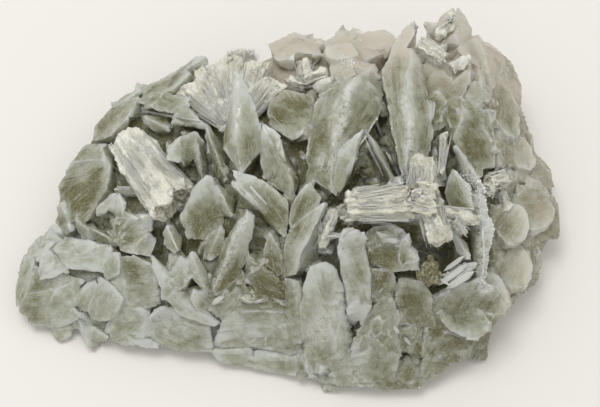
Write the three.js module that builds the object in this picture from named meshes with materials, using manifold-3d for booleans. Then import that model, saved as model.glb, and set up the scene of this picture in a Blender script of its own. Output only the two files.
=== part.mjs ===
// Strontianite on calcite: a hand-sized cluster of steep calcite blades with cream fibre sheaves on top.
// Millimetres. X runs to the right, Y away from the front ledge, Z up. It rests on its flat broken base.
import * as THREE from 'three';
import { ConvexGeometry } from 'three/addons/geometries/ConvexGeometry.js';
import { mergeVertices } from 'three/addons/utils/BufferGeometryUtils.js';
import Module from 'manifold-3d';

const wasm = await Module();
wasm.setup();

// Driving dimensions of the whole specimen.
const SPECIMEN_SPAN = 120;
const BASE_LEVEL = 0;

// Driving dimensions of the calcite crystals.
const PLATE_THICKNESS = 4;
const PLATE_ROOT = 8;
const BACK_SHRINK = 0.6;
const RIDGE_ROOT = 9;
const RIDGE_END_WIDTH = 0.35;
const RIDGE_BOW = 0.03;
const FILLER_LENGTH = [5, 9];
const FILLER_STRIKE = Math.PI * 0.32;
const FILLER_BURIED = 0.6;
const FILLER_WIDTH = 0.75;
const FILLER_THICKNESS = 0.26;
const FAR_ARC = [Math.PI * 0.14, Math.PI * 0.94];
const FAR_ROWS = [
  { height: 3, count: 6, size: 10 },
  { height: 10, count: 5, size: 9.5 },
];
const FAR_BURIED = 0.5;
const FAR_WIDTH = 0.8;
const FAR_THICKNESS = 0.3;
const FAR_DROP = 1;

// Driving dimensions of the fibre sheaves and of their seat in the calcite.
const SEAT_GAP = 0.35;
const SEAT_SIDES = 5;
const FLUTE_DEPTH = 0.72;
const FLUTE_UNEVEN = [0.16, 0.08];
const END_RAG = 0.5;

// Driving dimensions of the nodule.
const NODULE_RADIUS = 2;
const NODULE_PROPORTIONS = [0.95, 1.25, 1];
const NODULE_SWELL = [0.16, 0.1];
const NODULE_PLACE = [22, -21.6, 23.4];

// The smallest edge that a joined solid keeps.
const FINEST_EDGE = 0.25;

const UP = new THREE.Vector3(0, 0, 1);
const EAST_OF_A_RIDGE = new THREE.Vector3(1, -0.3, 0);

/** A repeatable source of numbers from 0 to 1. */
function seeded(seed) {
  let state = seed >>> 0;
  return () => {
    state = (Math.imul(state, 1664525) + 1013904223) >>> 0;
    return state / 4294967296;
  };
}

function point(place) {
  return new THREE.Vector3(place[0], place[1], place[2]);
}

function middleOf(points) {
  const sum = new THREE.Vector3();
  points.forEach((p) => sum.add(p));
  return sum.divideScalar(points.length);
}

/** A closed solid from a geometry, with only its places kept and its doubled corners merged. */
function solidFrom(geometry) {
  const bare = geometry.clone();
  bare.deleteAttribute('normal');
  bare.deleteAttribute('uv');
  const merged = mergeVertices(bare, 1e-5);
  const vertProperties = new Float32Array(merged.attributes.position.array);
  const triVerts = new Uint32Array(merged.index.array);
  return new wasm.Manifold(new wasm.Mesh({ numProp: 3, vertProperties, triVerts }));
}

function geometryFrom(solid) {
  const mesh = solid.getMesh();
  const geometry = new THREE.BufferGeometry();
  geometry.setAttribute('position', new THREE.BufferAttribute(new Float32Array(mesh.vertProperties), 3));
  geometry.setIndex(new THREE.BufferAttribute(new Uint32Array(mesh.triVerts), 1));
  const flat = geometry.toNonIndexed();
  flat.computeVertexNormals();
  return flat;
}

function hull(points) {
  return solidFrom(new ConvexGeometry(points));
}

/** A plain lump of matrix: the hull of its corner places. */
function lump(...places) {
  return hull(places.map(point));
}

/** Joins solids two by two, so that no join is between one huge body and many small ones. */
function fuse(solids) {
  let row = [...solids];
  while (row.length > 1) {
    const next = [];
    for (let i = 0; i < row.length; i += 2) {
      next.push(i + 1 < row.length ? row[i].add(row[i + 1]) : row[i]);
    }
    row = next;
  }
  return row[0];
}

/** The upward normal of a nearly flat ring of corners. */
function facing(corners) {
  const normal = new THREE.Vector3();
  corners.forEach((corner, i) => {
    const next = corners[(i + 1) % corners.length];
    normal.add(new THREE.Vector3().crossVectors(corner, next));
  });
  normal.normalize();
  return normal.z < 0 ? normal.negate() : normal;
}

/** A broad crystal: its rim, a smaller back face and a root that narrows down into the matrix. */
function plate(rim, { thick = PLATE_THICKNESS, root = PLATE_ROOT, dome = 0 } = {}) {
  const corners = rim.map(point);
  const centre = middleOf(corners);
  const normal = facing(corners);
  const backs = corners.filter((corner, i) => i % 2 === 0);
  const points = [...corners];
  backs.forEach((corner) => {
    points.push(centre.clone().lerp(corner, BACK_SHRINK).addScaledVector(normal, -thick));
  });
  points.push(centre.clone().addScaledVector(UP, -root));
  if (dome > 0) {
    points.push(centre.clone().addScaledVector(normal, dome));
  }
  return hull(points);
}

/**
 * A roof-shaped crystal: a sharp crest with a face falling away on each side.
 * West and east are the width and the drop of those two faces; where the crest runs from left to
 * right, the east face is the near one.
 */
function ridge(crest, west, east, root = RIDGE_ROOT) {
  let line = crest.map(point);
  if (line.length === 2) {
    const bow = line[0].distanceTo(line[1]) * RIDGE_BOW;
    line = [line[0], middleOf(line).addScaledVector(UP, bow), line[1]];
  }
  const run = line[line.length - 1].clone().sub(line[0]);
  const side = new THREE.Vector3(-run.y, run.x, 0).normalize();
  if (side.dot(EAST_OF_A_RIDGE) < 0) {
    side.negate();
  }
  const points = line.flatMap((p, i) => {
    const inner = i > 0 && i < line.length - 1;
    const share = inner ? 1 : RIDGE_END_WIDTH;
    const toWest = p.clone().addScaledVector(side, -west[0] * share).addScaledVector(UP, -west[1] * share);
    const toEast = p.clone().addScaledVector(side, east[0] * share).addScaledVector(UP, -east[1] * share);
    return [p, toWest, toEast];
  });
  points.push(middleOf(line).addScaledVector(UP, -root));
  return hull(points);
}

/** A small lens-shaped crystal from foot to tip, with its flat sides turned about its length. */
function leaf(foot, tip, wide, thick, turn) {
  const along = tip.clone().sub(foot);
  const length = along.length();
  along.normalize();
  const flat = new THREE.Vector3(Math.cos(turn), Math.sin(turn), 0);
  const across = new THREE.Vector3().crossVectors(along, flat).cross(along).normalize();
  const out = new THREE.Vector3().crossVectors(along, across);
  const at = (share, sideways, outward) => foot.clone()
    .addScaledVector(along, share * length)
    .addScaledVector(across, sideways * wide)
    .addScaledVector(out, outward * thick);
  return hull([
    at(0, 0, 0),
    at(0.5, -0.5, 0), at(0.6, 0.5, 0),
    at(0.86, -0.3, 0), at(1, 0.04, 0),
    at(0.5, -0.1, 0.5), at(0.5, 0.1, -0.5),
  ]);
}

/** The broken rock under and behind the crystals, in four lumps that step up to the middle. */
function matrixLumps() {
  return [
    lump(
      [-48.6, -19.6, 0], [-46.6, -12, 0], [-34, -9, 0], [-25, -9, 0], [-26, -25.8, 0], [-44, -24, 0],
      [-50.6, -19.6, 3.8], [-49.4, -13.5, 5], [-47, -10.4, 5.6], [-47, -24.4, 2.4], [-36, -25.8, 2.4],
      [-45, -10.6, 7.2], [-46, -15, 7], [-36, -11.4, 9], [-26, -12, 11], [-34, -18, 8], [-40.5, -20.6, 5],
    ),
    lump(
      [-42.5, -8, 0], [-42, 1.5, 0], [-36, 9, 0], [-31, 15, 0], [-17, 20, 0], [-14, -14, 0], [-34, -12, 0],
      [-43.4, -1.5, 6], [-43, -6.5, 5.4], [-41.4, 3, 7], [-38, 7.5, 7.6], [-36, 11, 8.4], [-29, 16, 10],
      [-37, -2, 9.6], [-33, 6, 11.6], [-24, 13, 14.4], [-19, 6, 16], [-20, -9, 15.4], [-30, -9.5, 11],
    ),
    lump(
      [-34, -25, 0], [-22, -27, 0], [-8, -30, 0], [8, -32, 0], [22, -33.4, 0], [34, -20, 0],
      [32, 19, 0], [14, 24, 0], [-4, 25, 0], [-20, 19, 0], [-26, -4, 0],
      [-28, -24.6, 5], [-15, -25.6, 6], [0, -27.6, 7], [18, -29, 7], [30, -24, 10], [31, -10, 19],
      [30, 14, 20], [14, 21, 20], [-4, 22, 17.6], [-16, 18, 15.5],
      [-16, -18, 11.5], [-10, -8, 20], [-8, 8, 21.5], [8, -15, 21.5], [22, -14, 21], [24, 8, 23.5],
      [6, 10, 24],
    ),
    lump(
      [24, -31, 0], [33, -23, 0], [40, -15, 0], [44, -8, 0], [43, 1, 0], [38, 9, 0], [38, 18, 0],
      [30, 23.5, 0], [20, 24, 0], [20, -30, 0],
      [42, -12, 5.5], [46, -6.5, 5.5], [45, 0, 7], [42, 4, 8], [39, 9, 9.5], [39.5, 17, 10.5], [37, 22, 12],
      [30, 25, 16], [36, -4, 15.5], [32, 8, 21], [30, 16, 22.5], [24, 22, 23.5], [24, -14, 20],
      [31, -18, 11],
    ),
  ];
}

/** Places where the rock is hollowed out, so that the crystals stand over dark gaps. */
function hollows() {
  return [
    ridge([[-20, 1, 24], [-16, -5, 24]], [2.2, 4], [2.2, 4], 12),
    ridge([[17, -17.5, 30], [23.5, -24, 27]], [2.5, 4], [3.2, 5], 12),
    ridge([[-8, -11, 27], [-7.6, -18.5, 24]], [0.8, 3], [1.6, 3], 14),
    ridge([[14.6, 6, 31], [15, -4, 31]], [1.4, 4], [1.2, 4], 12),
    ridge([[-20, -21, 15], [-2, -24.5, 15]], [1.6, 3], [1.6, 3], 7),
    ridge([[7.2, -27, 18], [6.8, -32, 13]], [0.8, 3], [2, 4], 9),
  ];
}

/** Cleavage blocks and flat faces of the low ledge at the left and front left. */
function leftLedge() {
  return [
    plate([[-47.2, -14.8, 9.2], [-47.5, -10.2, 7.8], [-45, -8.6, 9.4], [-42.3, -10.8, 10.8],
      [-43.6, -15.6, 10],
      [-41, -17.8, 9.6]], { thick: 5 }),
    plate([[-44.2, -13.2, 11.2], [-42, -10.8, 11.8], [-36.5, -12.3, 13], [-33, -14, 13.4], [-34, -15, 12.9],
      [-34.6, -18, 11.4], [-41, -17, 10.4]], { thick: 3, root: 7 }),
    plate([[-51.6, -19, 5.2], [-50.2, -13.4, 6.4], [-47.6, -10, 7.4], [-47.6, -15, 8.8], [-49, -20.5, 6],
      [-51.3, -22, 3.8]], { thick: 4, root: 5 }),
    plate([[-47.4, -15.2, 8.2], [-44, -16.6, 8.2], [-38.4, -18.8, 8.4], [-40.6, -21.6, 6],
      [-48.6, -19.8, 5]],
      { thick: 3, root: 5 }),
    plate([[-49, -20, 5.6], [-44.6, -19.8, 6.6], [-41, -22, 5.8], [-39, -24.4, 4.8], [-44, -25.4, 2.6],
      [-48.2, -25, 2.8], [-51, -22.4, 3.6]], { thick: 4, root: 4 }),
    plate([[-36.2, -19.4, 11.4], [-38, -19.6, 9.6], [-40.6, -21.4, 7.2], [-40.6, -22.4, 6],
      [-38.4, -23.6, 5.8],
      [-36.4, -21.4, 8.8]], { thick: 3, root: 6 }),
    plate([[-35.6, -19.2, 11.9], [-33, -20.8, 11.9], [-31, -22.4, 11], [-32.4, -24.6, 8], [-35, -25.2, 6.4],
      [-37.6, -25, 5.2], [-38.3, -23.4, 6.2], [-36.4, -21.4, 9.4]], { thick: 4 }),
    plate([[-33.4, -15, 13.8], [-31.6, -15.2, 14.8], [-31.8, -18.8, 12.8], [-34.6, -19.4, 11.2],
      [-35, -16.6, 12.4]], { thick: 3 }),
    plate([[-31.6, -15.6, 13.4], [-29.6, -15.4, 14.2], [-26, -17, 14.2], [-25.2, -19.4, 12.6],
      [-24.4, -22.6, 9.6],
      [-27, -23.6, 8], [-29.6, -22, 9], [-32, -19, 11.2]], { thick: 4 }),
    plate([[-33.6, -19.6, 10.6], [-32.4, -19, 11], [-26.6, -24, 8], [-28, -25, 7]], { thick: 3 }),
    ridge([[-33, -20.2, 11], [-27.6, -24.6, 8.2]], [0.5, 0.6], [0.5, 0.6], 4),
    plate([[-33.6, -23.4, 8.4], [-31, -22.6, 9.4], [-26.4, -24.6, 8.6], [-27, -27.6, 4.6],
      [-31, -28.6, 2.8],
      [-35.4, -26.8, 2.8]], { thick: 4, root: 5 }),
    ridge([[-39, -25.4, 4.2], [-34.6, -27.4, 3.8]], [1.4, 1.6], [1.2, 2.2], 4),
    ridge([[-31, -27, 5], [-25.6, -28.8, 3.6]], [1, 0.8], [1, 2], 4),
    plate([[-34.4, -10.6, 12.8], [-30, -9.6, 14.4], [-25.4, -12, 15.4], [-26.6, -15.4, 14.2],
      [-32, -14.4, 13.4]],
      { thick: 4 }),
    ridge([[-37.6, -9.6, 12.4], [-32.4, -13, 12.8]], [1.2, 1.4], [1.3, 1.6]),
    ridge([[-40.6, -7.6, 11.4], [-36, -11.2, 11.8]], [1.4, 1.6], [1.2, 1.6]),
    ridge([[-35, -5.4, 15.4], [-28.6, -9.3, 15.8]], [1.3, 1.2], [1.3, 1.4]),
    ridge([[-23.6, -10.6, 18], [-21.4, -15.8, 17.4]], [2, 1.6], [1.8, 2]),
  ];
}

/** The long pale rib and the plates that make the front edge. */
function frontLedge() {
  return [
    ridge([[-26.2, -16.2, 16.8], [-23, -21.5, 14.6], [-20, -24.5, 12.6], [-14.4, -27, 9.6]], [1.8, 1.4],
      [1.2, 2.8]),
    ridge([[-27, -26, 8.8], [-23.4, -23.8, 11]], [0.8, 0.8], [0.9, 2.4], 6),
    plate([[-24, -24.2, 9.8], [-20.4, -24.4, 11], [-16.4, -26.8, 8.4], [-15.8, -30.4, 3.8],
      [-22, -29.2, 2.8],
      [-27, -28, 3.4], [-27.2, -26.4, 6.4]], { thick: 5, root: 5 }),
    plate([[-14.2, -26.6, 9], [-11, -25.3, 11], [-6.5, -25.2, 11.8], [0, -26, 12.4], [0.6, -30.4, 5],
      [-8, -29.8, 3.8], [-16, -29, 4.4]], { thick: 4 }),
    plate([[-16.2, -30, 4.4], [-9, -30, 4.8], [-7.6, -32.2, 2.2],
      [-14, -31.6, 1.8]], { thick: 3, root: 4 }),
    plate([[-8.4, -30.4, 4.2], [0, -30.8, 4.8], [8, -33, 4.2], [10, -35.2, 2.2], [0, -33.4, 1.8],
      [-8.2, -32.4, 1.6]], { thick: 3, root: 4 }),
    ridge([[-18.4, -24.2, 12.8], [-16.4, -21.6, 14.4]], [0.5, 0.8], [0.6, 1], 4),
    ridge([[-15.6, -24.2, 12.8], [-13, -22.2, 14.2]], [0.6, 0.8], [0.8, 1], 4),
    ridge([[-18.6, -16.8, 19.6], [-18, -19.6, 18.2], [-16.8, -22.2, 15.4]], [1.5, 1.5], [1.5, 1.6]),
    ridge([[-20.6, -17.6, 17.6], [-20.4, -21.6, 15.4]], [1.3, 1.4], [1, 1.4]),
    plate([[-9.2, -17.4, 19.6], [-7.4, -18.8, 19.3], [-2.6, -22, 17.3], [-1.5, -22.2, 16.3],
      [-3, -24.2, 13],
      [-7, -22.8, 13], [-9.6, -20.6, 15]], { thick: 3 }),
    plate([[-2.8, -21.6, 19.4], [0, -22.4, 20], [0.8, -29, 10.4], [-0.8, -30.2, 5.6], [-2.8, -26, 11.6]],
      { thick: 4 }),
    plate([[-14.6, -19.8, 15.6], [-10.2, -19.6, 16.4], [-9.6, -22.6, 13.4],
      [-15, -23.2, 12.4]], { thick: 3 }),
  ];
}

/** Smooth rounded plates round the low left rim and the far left shoulder. */
function leftRim() {
  return [
    plate([[-44.2, -0.6, 8.4], [-42.2, 3.2, 9.4], [-38, 5.8, 12], [-34, 2, 15.4], [-34.6, -3, 14.6],
      [-38, -8.2, 11.6], [-43.6, -7, 8]], { thick: 6, dome: 0.8 }),
    ridge([[-43.6, -3.6, 9.8], [-41.4, -9, 9.6]], [1.6, 2.4], [1.6, 1.2], 7),
    plate([[-37.8, 11, 10.4], [-34.6, 14.8, 11.6], [-29.6, 16, 14], [-30.8, 9.6, 16.4], [-34.2, 6.6, 15.4],
      [-38.2, 8, 10.8]], { thick: 4, dome: 0.6 }),
    plate([[-39.6, 7.4, 10], [-35, 5.8, 14.8], [-34, 1.6, 16], [-39.6, 3.4, 12], [-41.6, 4.2, 9.8]],
      { thick: 4 }),
    plate([[-30, 14.6, 14], [-28.2, 18.6, 13.4], [-22.8, 21, 14.4], [-20.4, 17, 18], [-20, 12.4, 20.2],
      [-21.4, 9.4, 20], [-26, 11, 17.4]], { thick: 6, dome: 0.9 }),
    ridge([[-34.6, 14.6, 11.8], [-29.4, 18.2, 12.8]], [1.3, 1.6], [1.6, 1]),
    plate([[-23.2, 8, 19.2], [-16, 6, 20.8], [-15.4, 8.4, 21], [-17.8, 11.4, 20.4], [-20.6, 11.6, 20.2],
      [-22.8, 10, 19.4]], { thick: 3 }),
    ridge([[-28.6, 9.6, 17.8], [-23.4, 7.4, 18.8]], [1.4, 1.6], [1.6, 2.4]),
    plate([[-23.7, 0, 20.8], [-23.2, 2.6, 21.8], [-21, 3.7, 22.4], [-18, 5, 21.6], [-16.6, 3.2, 20.6],
      [-19.6, -0.6, 19.6], [-21.8, -2, 20]], { thick: 4, root: 7, dome: 0.6 }),
    plate([[-22.6, 21.2, 14.4], [-19, 22.4, 17], [-15, 20, 19.6], [-19.4, 15.8, 19.4], [-24, 16.2, 17]],
      { thick: 5 }),
    ridge([[-16, 5, 24], [-15, 1, 23.8], [-12.8, -4.6, 22.6]], [1, 2.5], [1.2, 2.5], 10),
    plate([[-17, 11.4, 18.4], [-16, 17, 17.4], [-11, 18, 19.4], [-7, 16, 20.6], [-5.6, 11, 22.4],
      [-10, 5, 23], [-14, 7, 20.8]], { thick: 6 }),
    ridge([[-18, 3.6, 21.6], [-17.4, -3.4, 20.4]], [0.9, 2], [1, 2]),
  ];
}

/** The tall blades and the crystals round them in the middle left. */
function middleLeft() {
  return [
    lump(
      [-10.8, 11, 32.8], [-10.8, 6.5, 31.8], [-11.3, 0, 29.9], [-10.2, -5.4, 27],
      [-12.2, 6, 28], [-13, -0.6, 26.4], [-8.4, 7.6, 31.4], [-6.8, 3, 30], [-6.8, -1.6, 28.4],
      [-8, 5, 17], [-10.4, -3, 16],
    ),
    plate([[-6.5, 3.2, 29.4], [-3.5, 0.2, 29.5], [-1.4, -7, 28.6], [-0.9, -9.4, 27.5], [-2, -10.2, 27],
      [-6.5, -5.6, 26.6], [-7, -1, 27.6]], { thick: 4, root: 10 }),
    plate([[-5.6, 8.6, 26], [-3, 11, 26.4], [2.2, 10, 26.4], [2.4, 2.4, 29], [-1.5, 0.2, 28],
      [-5.6, 4, 26.4]], { thick: 4 }),
    plate([[-12, -4.4, 27], [-6.5, -7.8, 28.8], [-2.5, -10.5, 28], [-2.2, -14, 25.7], [-2.6, -15.8, 24.4],
      [-4.2, -14, 25.3], [-6.2, -11, 26.6], [-10.5, -7.6, 26.9]], { thick: 3, root: 9 }),
    ridge([[-11.8, -6.6, 27.6], [-6.4, -11.6, 26.8]], [0.8, 1], [0.7, 1.6], 7),
    plate([[1.5, -7.8, 30.6], [3.6, -10.5, 29.7], [3.3, -12, 29], [-2, -15.2, 26.4], [-2.1, -12, 27.8]],
      { thick: 4, root: 9 }),
    plate([[4.7, -11.4, 30.5], [2.6, -12.6, 29.4], [-2.2, -15.2, 25.9], [-2.8, -21.6, 19.6],
      [-0.5, -21.6, 21.6],
      [1.2, -18, 27.2]], { thick: 4, root: 10 }),
    plate([[-18.6, -6.3, 23.4], [-16.5, -4.3, 24.6], [-15.6, -4.3, 24.4], [-12.4, -9, 20.6],
      [-14.6, -14.6, 17.2],
      [-19.6, -13.6, 17.2], [-21, -10, 19.6]], { thick: 4 }),
    ridge([[-8.4, -11.8, 26.2], [-11, -15.5, 22.6], [-13.5, -19.5, 18.2], [-15.6, -22.6, 14.8]], [2.2, 3.4],
      [2.8, 2.6], 10),
    ridge([[-13.4, -12.6, 20.4], [-16.4, -17.4, 17.2]], [1.8, 1.4], [1.6, 1.4]),
    plate([[-5.5, -14.4, 23.7], [-2.4, -18, 21.5], [-2.9, -21, 18.2], [-6.6, -18.6, 19.2]],
      { thick: 3, root: 8 }),
    plate([[-20.6, -21.4, 13], [-10.6, -22, 13], [0, -23.6, 13.4], [0, -26, 11.6], [-8, -25, 10.6],
      [-14, -26, 9.2]], { thick: 3, root: 5 }),
    ridge([[-14.6, -5.6, 24], [-11.4, -11.4, 22.4]], [1.2, 2], [1.5, 2]),
    ridge([[2.4, 11.8, 27.4], [5.6, 12.8, 27.8], [5.2, 8.6, 27.4]], [1.6, 1], [1.4, 1]),
  ];
}

/** The great blades, the roof crystal and the broad faces in the middle right. */
function middleRight() {
  return [
    lump(
      [10, 10, 33.6], [7.5, 6.5, 33.4], [6.3, 1.5, 32.8], [5.5, -3, 31.4], [5, -9.6, 29.2],
      [3, 7.6, 30.4], [1.2, 2.6, 29.4], [0.9, -2.4, 28.4], [1.4, -5.4, 27.4],
      [12.6, 12.8, 31], [14.2, 8, 30.4], [13.2, 4.4, 29.6], [8.4, -2, 29.6], [7, 1, 16], [5, -7, 18],
    ),
    plate([[10.5, 0.2, 34.4], [6.4, -3, 33], [5, -9.8, 29.6], [6.6, -10.4, 28.8], [9, -5, 31]],
      { thick: 2, root: 10 }),
    ridge([[10.6, 0, 34.3], [12.2, -2, 33.6], [14.2, -6, 31.6], [15.4, -8.2, 30.4]], [0.5, 2],
      [0.7, 2.6], 14),
    lump(
      [5.4, -12.4, 28.4], [9, -10.4, 29], [20, -5, 30.8], [24, -11, 28.8], [21, -14.4, 28.4],
      [8, -14.6, 28.2],
      [5, -12, 18], [23, -8, 18], [20, -15, 18],
    ),
    ridge([[6.4, -12.4, 27.6], [3.2, -17.4, 23.6]], [1, 2], [1, 2], 13),
    lump(
      [20.6, 22.8, 30.4], [17.4, 19, 31], [14.4, 12.4, 31.4], [14.6, 7, 31.8], [16.2, 1, 31.8],
      [17, -8.6, 30.2],
      [20.4, 19.4, 31.6], [19.9, 14.5, 32], [21.6, 9, 31.4], [22.6, 2, 30.8], [22, -2.2, 29.8],
      [18.4, 10, 33.4], [18, 2, 33.2], [17.6, -7.6, 31.2], [19, 8, 16], [19, -4, 18],
    ),
    plate([[20, 14.6, 29.2], [25, 14.4, 28.6], [29, 16.2, 28], [29.8, 11.6, 28.4], [28.4, 8.6, 27.6],
      [25.4, 3, 27.6], [22.4, 2, 28.2], [21, 8, 28.6]], { thick: 4 }),
    ridge([[29.3, 16, 28.6], [29.9, 11, 28.6]], [0.8, 1], [0.6, 2.4]),
    plate([[31, 12.4, 27.4], [28.4, 9.6, 27.2], [33.4, 9, 24.6], [35, 13, 22.6]], { thick: 4 }),
    plate([[25.4, 8, 28.2], [28.5, 8.9, 28.5], [33, 6.8, 25.6], [33.3, 5, 25.2], [34.2, -2, 23],
      [31.5, -4.8, 24], [26, 0, 28.4], [28, 3, 29.6]], { thick: 5, root: 10 }),
    ridge([[26.1, -1.2, 29.8], [31.2, -9.2, 28]], [0.9, 1.6], [0.8, 1.6]),
    plate([[25.2, -5.2, 29.2], [28.5, -8.4, 28.6], [29.3, -12.6, 27.8], [26.4, -12.6, 25.6],
      [24.4, -9, 27]], { thick: 3 }),
    ridge([[22.6, -1, 28.6], [24.4, -6.6, 27.6]], [1.4, 2.4], [1.2, 2]),
    ridge([[30.4, -8.6, 27.6], [31.2, -14, 24.6], [31.2, -22.6, 18.2]], [2.1, 2], [1.5, 1], 10),
    ridge([[24.4, -22.4, 22.2], [28, -20.6, 22.8], [29.8, -20, 22.2]], [0.9, 1], [1, 1.6], 14),
    ridge([[26.2, -15.4, 25.6], [28.4, -19.6, 23.4]], [1, 1.4], [1.2, 1.8]),
  ];
}

/** The high crest along the far edge. */
function farCrest() {
  return [
    plate([[4.8, 22.6, 22.6], [8.5, 25.2, 22.6], [14.4, 22.8, 23.2], [15.6, 19.6, 25], [12, 16.6, 26.8],
      [7, 15.6, 26.8], [4.4, 18.6, 24.6]], { thick: 7, dome: 1 }),
    plate([[5.8, 16.8, 26], [9, 17.4, 26.8], [13.4, 15.4, 27.6], [14, 11.4, 29.8], [10, 10.2, 31.6],
      [7.4, 9, 30.6], [5.4, 13.4, 27.8]], { thick: 4, root: 9, dome: 0.5 }),
    plate([[-6.2, 22.8, 20.8], [-1, 25.6, 20.6], [3.2, 23.6, 21.2], [4.2, 20, 23.2], [0, 18.6, 23.8],
      [-5, 19, 22.6]], { thick: 6, dome: 0.8 }),
    ridge([[2, 23.4, 21.6], [5.4, 22.4, 22.6]], [1.6, 1.6], [1.6, 1.4]),
    ridge([[15, 24.2, 22], [17.6, 19.4, 27]], [1.5, 1.5], [1.6, 1.5], 15),
    plate([[27.6, 18.8, 27.2], [30.4, 22.6, 25.6], [34.4, 21, 22], [33.6, 16.4, 23.6], [30.4, 16.8, 25.6]],
      { thick: 5, dome: 0.4 }),
    lump(
      [27.4, 26.4, 28.4], [25, 25.2, 26.6], [24.4, 21, 26.6], [27.8, 19.6, 27.2], [31, 22, 26.2],
      [31.4, 25.6, 22.6], [29.2, 26.8, 25.8], [27, 24, 29.4], [28, 23, 12], [25, 22, 14],
    ),
    ridge([[22.4, 24.6, 26.6], [25.4, 21.8, 28.6]], [1.2, 1.6], [1.6, 1.8]),
    plate([[31, 22.2, 25], [34.6, 24.8, 18], [38.5, 22.4, 15.4], [40.8, 18, 13.4], [40, 12.4, 13.6],
      [36, 12.2, 19], [32.4, 13.2, 24.2]], { thick: 6, dome: 1 }),
    ridge([[31.6, 22.6, 25.6], [33.6, 18, 24.6], [34.4, 12.6, 23]], [1.6, 1.4], [2, 2]),
    plate([[36, 12.2, 18.6], [40, 12.6, 13.2], [39.4, 8.4, 11.8], [37, 4.4, 15.2], [34.4, 6, 20.6],
      [34, 11.2, 22.2]], { thick: 5, dome: 0.8 }),
  ];
}

/** Rounded, overlapping lobes of the right rim. */
function rightRim() {
  return [
    plate([[34.5, 5, 20.2], [38.6, 4.6, 15.6], [40.6, 5.4, 13.2], [41.6, 3, 12.4], [37, 0, 16.8],
      [34, 0, 20.4]], { thick: 4, dome: 0.5 }),
    plate([[38.4, 2.6, 15.2], [41, 4.4, 12.4], [43.6, 3.9, 11], [45.9, 1.5, 9.9], [46.7, -0.5, 9.3],
      [43, -2.2, 12.6], [38.4, -1.6, 16.2]], { thick: 4, dome: 0.6 }),
    plate([[38.8, -2.6, 15.4], [44, -1.2, 12.4], [47, -3.7, 9.4], [47.4, -6.5, 8], [46.2, -9.3, 7],
      [43, -10.2, 8.2], [38.8, -9, 13.4]], { thick: 4, dome: 0.6 }),
    plate([[33.4, -7.4, 19.2], [37, -7.9, 16.8], [40.8, -9, 13.4], [42.7, -10.8, 9.4], [42.2, -13.8, 6.9],
      [38, -17.6, 8.6], [33.4, -20.6, 12.6]], { thick: 5, dome: 0.6 }),
    plate([[33.6, -20.4, 12], [38, -17.6, 9], [41.6, -15.2, 5.4], [39, -19.2, 4.2], [36.6, -22, 4]],
      { thick: 4, root: 6 }),
    ridge([[35.4, 0, 20.4], [34.6, -6.4, 20.6]], [1.4, 1.6], [1.4, 1.8]),
    ridge([[34.2, 10.8, 22.8], [36.8, 10.6, 19.4]], [0.8, 1], [0.9, 1]),
    ridge([[33.4, 3, 24.6], [35.8, -3.2, 21.2]], [1, 1.8], [1.4, 1.8]),
  ];
}

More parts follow.
